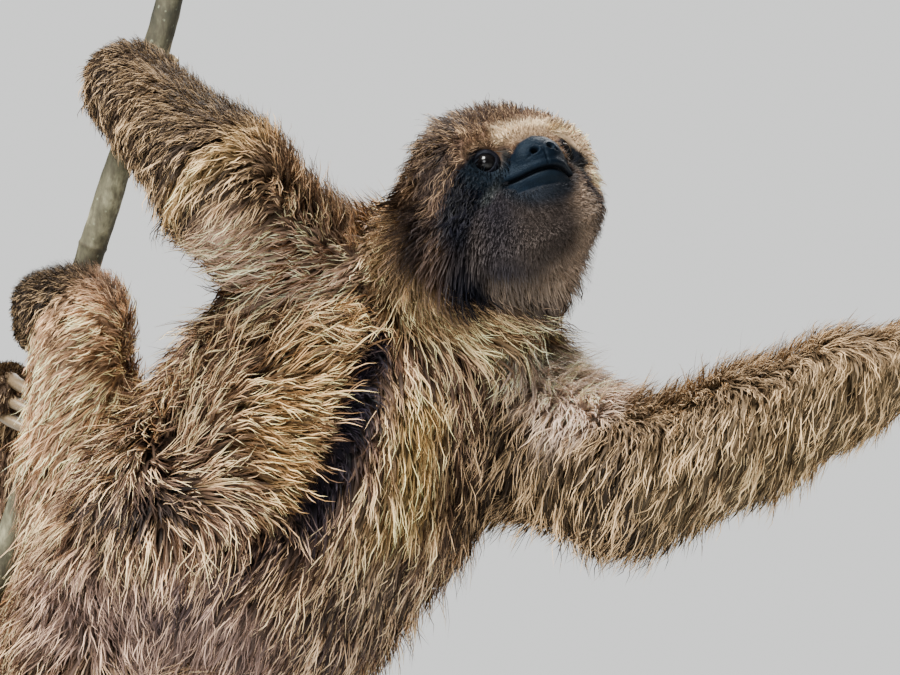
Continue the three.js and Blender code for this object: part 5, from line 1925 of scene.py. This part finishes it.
        colour, pale = self.markings.colours(roots, normal, number)
        shades = self._strand_shades(colour, pale, seeds["tone"][owner], roots, self._pick(self.contrast))
        width = self._pick(self.width) * rng.uniform(0.7, 1.3, count)
        return Tufts(paths, side, normal, width, shades, self._unwrap(number, turn, share), number)

    def _strand_shades(self, colour: Array, pale: Array, lock: Array, roots: Array, bold: Array) -> Array:
        """Colours strands: painted shade at the root, some pale straw, some brown.

        Args:
            colour: the coat's middle colour at each root.
            pale: the share of pale hairs there.
            lock: the tone of the lock that the strand belongs to.
            roots: the roots.
            bold: how strong the contrast is.

        Returns:
            Five colours for each strand.
        """
        tone = 0.35 * lock + 0.65 * self.rng.random(len(colour)) + 0.1 * waves(roots, 9.0, 31)
        few = 0.22 * (1.0 - np.clip(pale, 0, 1))
        light = np.clip(ease(0.46, 0.66, tone - few) * (0.25 + 0.75 * pale) * (0.3 + 0.7 * bold), 0, 1.1)
        dark = ease(0.5, 0.2, tone)
        straw = self.straw_share * np.clip(pale, 0, 1.2)[:, None]
        bright = straw * linear(*self.straw) + (1.0 - straw) * colour * 2.6
        tip = colour + (bright - colour) * light[:, None]
        shade = np.clip(dark * bold, 0, 1.1) * (0.3 + 0.7 * np.clip(pale, 0, 1))
        tip = tip * (1.0 - shade[:, None] * np.array([0.76, 0.81, 0.86]))
        # Painted shade toward the root, where the coat shades the strand, and a lighter tip.
        steps = 1.0 + np.clip(bold, 0.25, 1.25)[:, None] * np.array([-0.76, -0.48, -0.08, 0.06, 0.14])
        return np.clip(tip[:, None, :] * steps[:, :, None], 0.004, 0.92)

    def _unwrap(self, number: Array, turn: Array, share: Array) -> Array:
        """Gives each root's place on an unwrap of the skin: an island for each part, round and along it."""
        cell = np.stack([number % self.columns, number // self.columns], 1) / self.columns
        return cell + (0.03 + 0.9 * np.stack([turn, share], 1)) / self.columns

    def _tuft_mesh(self, t: Tufts, keep: Array, shape: TuftShape) -> Arrays:
        """Makes tufts that narrow to a tip.

        Args:
            t: all tufts of a kind.
            keep: the numbers of those to make.
            shape: their blade.

        Returns:
            Vertices, triangles, colours and places on the unwrap.
        """
        side, out, path, colour = t.side[keep][:, None], t.out[keep][:, None], t.paths[keep], t.colour[keep]
        half = np.array(shape.profile)[None, :, None] * t.width[keep][:, None, None] * 0.5
        middle = path[:, shape.rows]
        across = [middle - side * half, middle + out * half * shape.ridge, middle + side * half]
        ring = np.stack(across if shape.ridge else across[::2], 2)
        count, rows, columns = ring.shape[:3]
        vertices = np.concatenate([ring.reshape(count, rows * columns, 3), path[:, 4:5]], 1)
        shades = np.repeat(colour[:, shape.rows], columns, 1) * np.tile(shape.shade, rows)[None, :, None]
        shades = np.concatenate([shades, colour[:, 4:5]], 1)
        local = np.array([(x / (columns - 1), y / rows) for y in range(rows) for x in range(columns)]
                         + [(0.5, 1.0)])
        triangles = shape.faces()[None] + (np.arange(count) * len(local))[:, None, None]
        places = t.place[keep][:, None, :] + (local * self.patch)[None]
        return (vertices.reshape(-1, 3), triangles.reshape(-1, 3), shades.reshape(-1, 3),
                places.reshape(-1, 2))

    def _pieces(self, locks: Tufts, strands: Tufts) -> list[Object]:
        """Makes the objects, part by part, and splits large ones.

        Args:
            locks: the locks.
            strands: the strands.

        Returns:
            The objects.
        """
        made = []
        material = self.finish.material()
        for number, part in enumerate(self.body.flesh):
            owned = [(tufts, shape, np.flatnonzero(tufts.piece == number))
                     for tufts, shape in ((locks, self.lock), (strands, self.strand))]
            count = sum(len(own) * len(shape.faces()) for _, shape, own in owned)
            split = max(1, math.ceil(count / self.most))
            for n in range(split):
                sets = [self._tuft_mesh(tufts, own[n * len(own) // split:(n + 1) * len(own) // split], shape)
                        for tufts, shape, own in owned]
                if sum(len(s[1]) for s in sets):
                    tail = f"_{n + 1}" if split > 1 else ""
                    made.append(self._piece(f"coat_{part.value}{tail}", sets, material))
        return made

    @staticmethod
    def _piece(name: str, sets: Sequence[Arrays], material: Material) -> Object:
        """Makes one object of the coat.

        Args:
            name: its name.
            sets: arrays for the locks and for the strands.
            material: the coat's material.

        Returns:
            The object.
        """
        vertices, triangles, _ = joined([s[:2] for s in sets])
        shades, places = (np.concatenate([s[n] for s in sets]) for n in (2, 3))
        made = build_mesh(name, vertices, triangles)
        paint_vertices(made, "hair", shades)
        layer = made.data.uv_layers.new(name="OFBake")
        layer.uv.foreach_set("vector", places[triangles.ravel()].astype(np.float32).ravel())
        made.data.materials.append(material)
        return made


# ---- eyes, claws, stem and stand


def tube(name: str, centres: Array, us: Array, vs: Array, ru: Array, rv: Array, around: int,
         bumps: Array | None = None) -> Object:
    """Makes a closed tube through rings.

    Args:
        name: the object's name.
        centres: each ring's centre.
        us: each ring's first axis.
        vs: each ring's second axis.
        ru: the radius along the first.
        rv: the radius along the second.
        around: points round each ring.
        bumps: extra radius for each ring and point, or nothing.

    Returns:
        The object.
    """
    turn = circle(around)
    rings = len(centres)
    extra = np.zeros((rings, around)) if bumps is None else bumps
    side = (us[:, None] * (np.cos(turn)[None, :, None] * (ru[:, None] + extra)[..., None])
            + vs[:, None] * (np.sin(turn)[None, :, None] * (rv[:, None] + extra)[..., None]))
    vertices = (centres[:, None] + side).reshape(-1, 3)
    vertices = np.concatenate([vertices, centres[:1], centres[-1:]])
    n = np.arange(around)
    ahead, last = (n + 1) % around, (rings - 1) * around
    start_fan = np.stack([np.full(around, rings * around), ahead, n], 1)
    end_fan = np.stack([np.full(around, rings * around + 1), last + n, last + ahead], 1)
    quads = ring_quads(rings, around)
    faces = [quads[:, :3], quads[:, [0, 2, 3]], start_fan, end_fan]
    return build_mesh(name, vertices, np.concatenate(faces))


@dataclass
class Eyes:
    """The two dark wet eyes."""

    body: Body
    radius: float = 5.6
    bulge: float = 0.35
    look: Point = (0.62, 0.72, -0.3)
    rings: int = 31
    around: int = 48
    finish: EyeFinish = EyeFinish()

    def frames(self) -> list[Gaze]:
        """Works out where the eyes look.

        Returns:
            The right eye's gaze and the left eye's.
        """
        rows = self.body.head.rows()
        found = []
        for s, centre in zip((-1.0, 1.0), self.body.eyes):
            side, forward, up = self.look
            axis = unit(np.array([s * side, forward, up]) @ rows)
            level = unit(np.cross(axis, rows[2]) * -1.0)
            found.append((centre, axis, level))
        return found

    def build(self) -> list[Object]:
        """Makes the eyes, each slightly fuller at the front.

        Returns:
            The right eye and the left eye.
        """
        made = []
        for name, (centre, axis, level) in zip(("eye_right", "eye_left"), self.frames()):
            above = np.cross(axis, level)
            lat = np.linspace(0, math.pi, self.rings + 2)[1:-1]
            reach = self.radius + self.bulge * np.exp(-(lat / 0.55) ** 2)
            centres = centre + axis * (np.cos(lat) * reach)[:, None]
            radii = np.sin(lat) * reach
            ones = np.ones((len(lat), 1))
            ball = tube(f"{name}_ball", centres, level * ones, above * ones, radii, radii, self.around)
            pole = ball.data.vertices
            pole[len(pole) - 2].co = Vector((centre + axis * reach[0]) * MM)
            pole[len(pole) - 1].co = Vector((centre - axis * self.radius) * MM)
            ball.data.materials.append(self.finish.material(centre, axis))
            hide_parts(name)
            made.append(ball)
        return made


@dataclass
class Claws:
    """The twelve long curved claws."""

    body: Body
    hand: Point = (4.3, 9.4, 9.0)     # radius, spacing and how deep the root lies
    foot: Point = (3.9, 8.6, 8.0)
    width: float = 0.74               # a claw's width, tip and ridge, as shares of its radius
    tip: float = 0.12
    ridge: float = 0.05
    grip: tuple[float, ...] = (3.5, 0.35, 1.2, 7.5)         # sweep, start, inset and tuck round the stem
    free: tuple[float, ...] = (39.0, 1.75, -0.12, -4.0)     # arc, sweep, start and lift of the open hand
    stem_way: Point = (0.0, 0.0, 1.0)
    steps: int = 44
    around: int = 18
    finish: ClawFinish = ClawFinish()

    def _path(self, limb: str, offset: float, size: Point) -> Arrays:
        """Gives a claw's middle line and its two axes.

        Args:
            limb: the hand or foot.
            offset: how far the claw is from the middle one.
            size: radius, spacing and embedding.

        Returns:
            Centres, inward axes and sideways axes.
        """
        t = np.linspace(0, 1, self.steps + 1)
        if limb == "hand_right":
            arc, sweep, start, lift = self.free
            palm = self.body.spot["right_palm"]
            onward = unit(palm - self.body.spot["right_wrist"])
            curl = np.array(self.body.right_curl)
            curl = unit(curl - onward * (curl @ onward))
            across = np.cross(onward, curl)
            angle = (t * sweep + start)[:, None]
            centre = palm + across * offset + curl * lift
            centre = centre + onward * arc * np.sin(angle) + curl * arc * (1 - np.cos(angle))
            return centre, onward * np.sin(angle) - curl * np.cos(angle), np.tile(across, (len(t), 1))
        sweep, start, inset, tuck = self.grip
        point, out, onward, reach = self.body.grip(limb)
        angle = (start - size[2] / reach + t * sweep)[:, None]
        u = out * np.cos(angle) + onward * np.sin(angle)
        away = (reach - inset - tuck * t ** 0.7)[:, None]
        centre = point + np.array(self.stem_way) * offset + u * away
        return centre, u, np.tile(np.cross(out, onward), (len(t), 1))

    def build(self) -> list[Object]:
        """Makes the claws.

        Returns:
            The claws.
        """
        made = []
        material = self.finish.material()
        t = np.linspace(0, 1, self.steps + 1)
        turn = circle(self.around)
        for limb in ("hand_left", "hand_right", "foot_left", "foot_right"):
            size = self.hand if limb.startswith("hand") else self.foot
            for n in (-1, 0, 1):
                centre, u, v = self._path(limb, n * size[1], size)
                radius = size[0] * (self.tip + (1 - self.tip) * np.sqrt(1 - t ** 1.7))
                ridge = self.ridge * np.cos(turn)[None, :] ** 2 * radius[:, None] * (1 - t)[:, None]
                name = f"claw_{limb}_{n + 2}"
                claw = tube(f"{name}_horn", centre, u, v, radius, radius * self.width, self.around, ridge)
                mark_vertices(claw, "along", np.concatenate([np.repeat(t, self.around), [0.0, 1.0]]))
                claw.data.materials.append(material)
                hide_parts(name)
                made.append(claw)
        return made


@dataclass
class Stem:
    """The thin bent stem that the animal grips."""

    radius: float = 6.4
    taper: float = 0.9
    steps: int = 420
    around: int = 36
    rough_steps: int = 60       # of the line that the coat keeps clear of
    held: tuple[int, int] = (6, 4)      # the points between which it is gripped
    points: tuple[Point, ...] = (
        (-25, 22, 488), (-34, 24, 448), (-45, 29, 413), (-60, 34, 367), (-69, 40, 340), (-78, 51, 312),
        (-88, 64, 279), (-97, 73, 245), (-108, 79, 212), (-123, 83, 176), (-132, 87, 130), (-134, 90, 92),
        (-134, 90, 44))
    scar: float = 0.0028        # half a scar's width, and the scars, as shares of the stem
    scars: tuple[float, ...] = (0.055, 0.13, 0.2, 0.31, 0.37, 0.47, 0.55, 0.64, 0.71, 0.8, 0.9)
    finish: BarkFinish = BarkFinish()

    def line(self, steps: int) -> Array:
        """Gives points along the stem's middle line, a smooth curve through its points.

        Args:
            steps: the number of steps.

        Returns:
            The points.
        """
        p = np.array(self.points, float)
        p = np.concatenate([[2 * p[0] - p[1]], p, [2 * p[-1] - p[-2]]])
        gaps = np.sqrt(np.linalg.norm(np.diff(p, axis=0), axis=1))
        out = []
        count = len(self.points) - 1
        for s in np.linspace(0, count, steps + 1):
            n = min(int(s), count - 1)
            t0, t1, t2 = gaps[n], gaps[n + 1], gaps[n + 2]
            a, b, c, d = p[n:n + 4]
            m1 = (b - a) / t0 - (c - a) / (t0 + t1) + (c - b) / t1
            m2 = (c - b) / t1 - (d - b) / (t1 + t2) + (d - c) / t2
            m1, m2 = m1 * t1, m2 * t1
            x = s - n
            out.append((2 * x ** 3 - 3 * x ** 2 + 1) * b + (x ** 3 - 2 * x ** 2 + x) * m1
                       + (3 * x ** 2 - 2 * x ** 3) * c + (x ** 3 - x ** 2) * m2)
        return np.array(out)

    def held_way(self) -> Array:
        """Gives the way that the stem runs up where it is gripped."""
        below, above = (np.array(self.points[n], float) for n in self.held)
        return unit(above - below)

    def build(self) -> Object:
        """Makes the stem.

        Returns:
            The stem.
        """
        middle = self.line(self.steps)
        way = unit(np.gradient(middle, axis=0))
        u = unit(np.cross(way, [0.0, 1.0, 0.0]))
        v = np.cross(way, u)
        t = np.linspace(0, 1, self.steps + 1)
        radius = self.radius + self.taper * t
        ring = np.zeros(len(t))
        for n, scar in enumerate(self.scars):
            band = np.exp(-((t - scar) / self.scar) ** 2)
            ring = np.maximum(ring, band * (0.6 + 0.4 * math.sin(n * 2.3)))
        turn = circle(self.around)
        p = middle[:, None] + radius[:, None, None] * (
            u[:, None] * np.cos(turn)[None, :, None] + v[:, None] * np.sin(turn)[None, :, None])
        rough = waves(p.reshape(-1, 3), 5.0, 11).reshape(p.shape[:2]) * 0.16
        rough += waves(p.reshape(-1, 3), 17.0, 12).reshape(p.shape[:2]) * 0.28 - 0.3
        rough += (ring * 0.5)[:, None]
        made = tube("perch_bark", middle, u, v, radius, radius, self.around, rough)
        mark_vertices(made, "ring", np.concatenate([np.repeat(ring, self.around), [0, 0]]))
        mark_vertices(made, "cut", np.concatenate([np.zeros(p.shape[0] * p.shape[1]), [1, 1]]))
        made.data.materials.append(self.finish.material())
        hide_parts("perch_stem")
        return made


@dataclass
class Stand:
    """The stained base and the two brushed posts."""

    nodes: dict[str, Any]
    rod: float = 6.0
    foot: Point = (17.0, 5.0, 1.5)      # radius, height and edge
    cup: tuple[float, ...] = (12.5, 9.6, 14.0, 3.0, 3.0)    # radius, bore, depth, floor and slope below
    pad: tuple[float, ...] = (15.0, 4.0, 3.0, 1.0)          # radius, height, slope below and edge
    axle: float = 0.01                  # the radius that closes an end
    soft: float = 0.35                  # how far a corner is cut back
    around: int = 64
    wood: WoodFinish = WoodFinish()
    steel: SteelFinish = SteelFinish()

    def _lathe(self, name: str, node: str, profile: Sequence[tuple[float, float]]) -> Object:
        """Turns a profile about a post's axis.

        Args:
            name: the object's name.
            node: the CAD node it stands for.
            profile: radius and height of each corner, from the bottom up.

        Returns:
            The post.
        """
        low, high = (np.array(corner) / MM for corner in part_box(node))
        x, y = (low[0] + high[0]) / 2, (low[1] + high[1]) / 2
        softened: list[tuple[float, float]] = []
        for n, here in enumerate(profile):
            if n in (0, len(profile) - 1):
                softened.append(here)
                continue
            for other in (profile[n - 1], profile[n + 1]):
                gap = np.array(other) - here
                reach = float(np.linalg.norm(gap))
                softened.append(tuple(np.array(here) + gap * min(self.soft / max(reach, 1e-6), 0.4)))
        turn = circle(self.around)
        vertices = np.concatenate([np.stack([x + r * np.cos(turn), y + r * np.sin(turn),
                                             np.full(self.around, z)], 1) for r, z in softened])
        made = build_mesh(name, vertices, ring_quads(len(softened), self.around))
        bevel = made.modifiers.new("edges", "EDGE_SPLIT")
        bevel.split_angle = math.radians(50)
        made.data.materials.append(self.metal)
        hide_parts(node)
        return made

    def build(self) -> list[Object]:
        """Dresses the base and makes the posts.

        Returns:
            The posts.
        """
        self.metal = self.steel.material()
        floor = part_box("stand_post_stem")[0].z / MM
        radius, height, edge = self.foot
        start = [(self.axle, floor), (radius, floor), (radius, floor + height - edge),
                 (radius - edge, floor + height), (self.rod + 1.5, floor + height),
                 (self.rod, floor + height + edge)]
        wide, bore, depth, plate, taper = self.cup
        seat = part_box("stand_post_stem")[1].z / MM - depth
        stem = self._lathe("post_stem_rod", "stand_post_stem", start + [
            (self.rod, seat - plate - taper), (wide, seat - plate), (wide, seat + depth),
            (bore, seat + depth), (bore, seat), (self.axle, seat)])
        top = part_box("stand_post_belly")[1].z / MM
        span, thick, slope, round_ = self.pad
        belly = self._lathe("post_belly_rod", "stand_post_belly", start + [
            (self.rod, top - thick - slope), (span, top - thick), (span, top - round_),
            (span - round_, top), (self.axle, top)])
        base = self.nodes["stand_base"]
        material = self.wood.material()
        if not base.data.materials:
            base.data.materials.append(material)
        for slot in base.material_slots:
            slot.material = material
        return [stem, belly]


# ---- studio and camera


@dataclass(frozen=True)
class Lamp:
    """A soft square lamp, placed by offsets from the animal's middle in millimetres."""

    name: str
    place: Point
    size: float
    watts: float
    colour: Point = (1.0, 1.0, 1.0)


@dataclass
class Studio:
    """A plain pale floor and wall, soft lamps and the camera."""

    bounds: tuple[Vector, Vector]
    lamps: tuple[Lamp, ...] = (
        Lamp("key", (-650, -1000, 1800), 640, 138, (1.0, 0.97, 0.92)),
        Lamp("fill", (-700, -2300, 900), 900, 34, (0.98, 0.99, 1.0)),
        Lamp("rim", (500, 1300, 1500), 900, 50, (1.0, 0.98, 0.95)))
    world: Point = (0.84, 0.85, 0.84)
    seen: float = 1.35          # how bright the room looks
    strength: float = 0.22      # how much it lights
    floor: float = 9000.0       # half its width
    lens: float = 218.2
    sensor: float = 36.0
    sight: float = 50.0         # metres the camera sees
    stand_off: float = 2400.0
    pitch: float = 5.0
    aim: Point = (-10.5, -51.5, 55.5)     # the point looked at, from the middle of the box
    finish: StudioFinish = StudioFinish()

    def build(self) -> None:
        """Lays the floor, hangs the lamps and sets the camera."""
        low, high = self.bounds
        self.middle = np.array([(a + b) / 2 for a, b in zip(low, high)]) / MM
        self._floor(low.z / MM)
        for lamp in self.lamps:
            self._lamp(lamp)
        self._world()
        self._camera()

    def _floor(self, level: float) -> None:
        """Lays a wide flat floor.

        Args:
            level: its height.
        """
        ends = (-self.floor, self.floor)
        vertices = np.array([(x, y, level) for y in ends for x in ends])
        floor = build_mesh("studio_floor", vertices, np.array([(0, 1, 3, 2)]))
        floor.data.materials.append(self.finish.material())
        floor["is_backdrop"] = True

    def _lamp(self, lamp: Lamp) -> None:
        """Hangs one lamp, turned to the animal.

        Args:
            lamp: where it hangs and how it shines.
        """
        data = bpy.data.lights.new(lamp.name, "AREA")
        data.size = lamp.size * MM
        data.energy = lamp.watts
        data.color = lamp.colour
        made = bpy.data.objects.new(lamp.name, data)
        bpy.context.scene.collection.objects.link(made)
        place = Vector((self.middle + np.array(lamp.place)) * MM)
        made.location = place
        made.rotation_euler = (Vector(self.middle * MM) - place).to_track_quat("-Z", "Y").to_euler()

    def _world(self) -> None:
        """Fills the room with even light."""
        world = bpy.data.worlds.new("studio")
        world.use_nodes = True
        tree = world.node_tree
        shade = tree.nodes["Background"]
        shade.inputs["Color"].default_value = (*self.world, 1.0)
        view = tree.nodes.new("ShaderNodeLightPath")
        power = tree.nodes.new("ShaderNodeMapRange")
        power.inputs["To Min"].default_value = self.strength
        power.inputs["To Max"].default_value = self.seen
        tree.links.new(view.outputs["Is Camera Ray"], power.inputs["Value"])
        tree.links.new(power.outputs[0], shade.inputs["Strength"])
        bpy.context.scene.world = world

    def _camera(self) -> None:
        """Sets a long lens, low and looking slightly up."""
        turn = math.radians(self.pitch)
        way = np.array([0.0, math.cos(turn), math.sin(turn)])
        aim = self.middle + np.array(self.aim)
        data = bpy.data.cameras.new("camera")
        data.lens = self.lens
        data.sensor_width = self.sensor
        data.clip_end = self.sight
        made = bpy.data.objects.new("camera", data)
        bpy.context.scene.collection.objects.link(made)
        made.location = Vector((aim - way * self.stand_off) * MM)
        made.rotation_euler = (math.pi / 2 + turn, 0.0, 0.0)
        bpy.context.scene.camera = made


# ---- the whole


def main() -> None:
    """Builds the model, piece by piece."""
    logging.basicConfig(level=logging.INFO, format="%(message)s")
    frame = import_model()
    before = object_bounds()
    body = Body()
    markings = Markings(body)
    muzzle, eyes, stem = Muzzle(body.head), Eyes(body), Stem()
    skin = Skin(body, markings)
    hide = skin.build(muzzle, Lids(), eyes.frames())
    flesh = [name for name in frame["nodes"] if not name.startswith(("eye", "claw", "perch", "stand"))]
    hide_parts(*flesh)
    LOG.info("skin: %d faces over %d nodes", len(hide.data.polygons), len(flesh))
    made = [hide]
    coat = Coat(body, markings, muzzle, skin, stem.line(stem.rough_steps))
    for piece in coat.build():
        made.append(piece)
        LOG.info("%s: %d triangles", piece.name, len(piece.data.polygons))
    made += eyes.build()
    made += Claws(body, stem_way=tuple(stem.held_way())).build()
    made.append(stem.build())
    made += Stand(frame["nodes"]).build()
    for piece in made:
        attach(piece, "root")
    LOG.info("pieces: %d, triangles: %d", len(made), sum(
        len(p.data.polygons) * (len(p.data.polygons[0].vertices) - 2) for p in made))
    Studio(before).build()


if __name__ == "__main__":
    main()
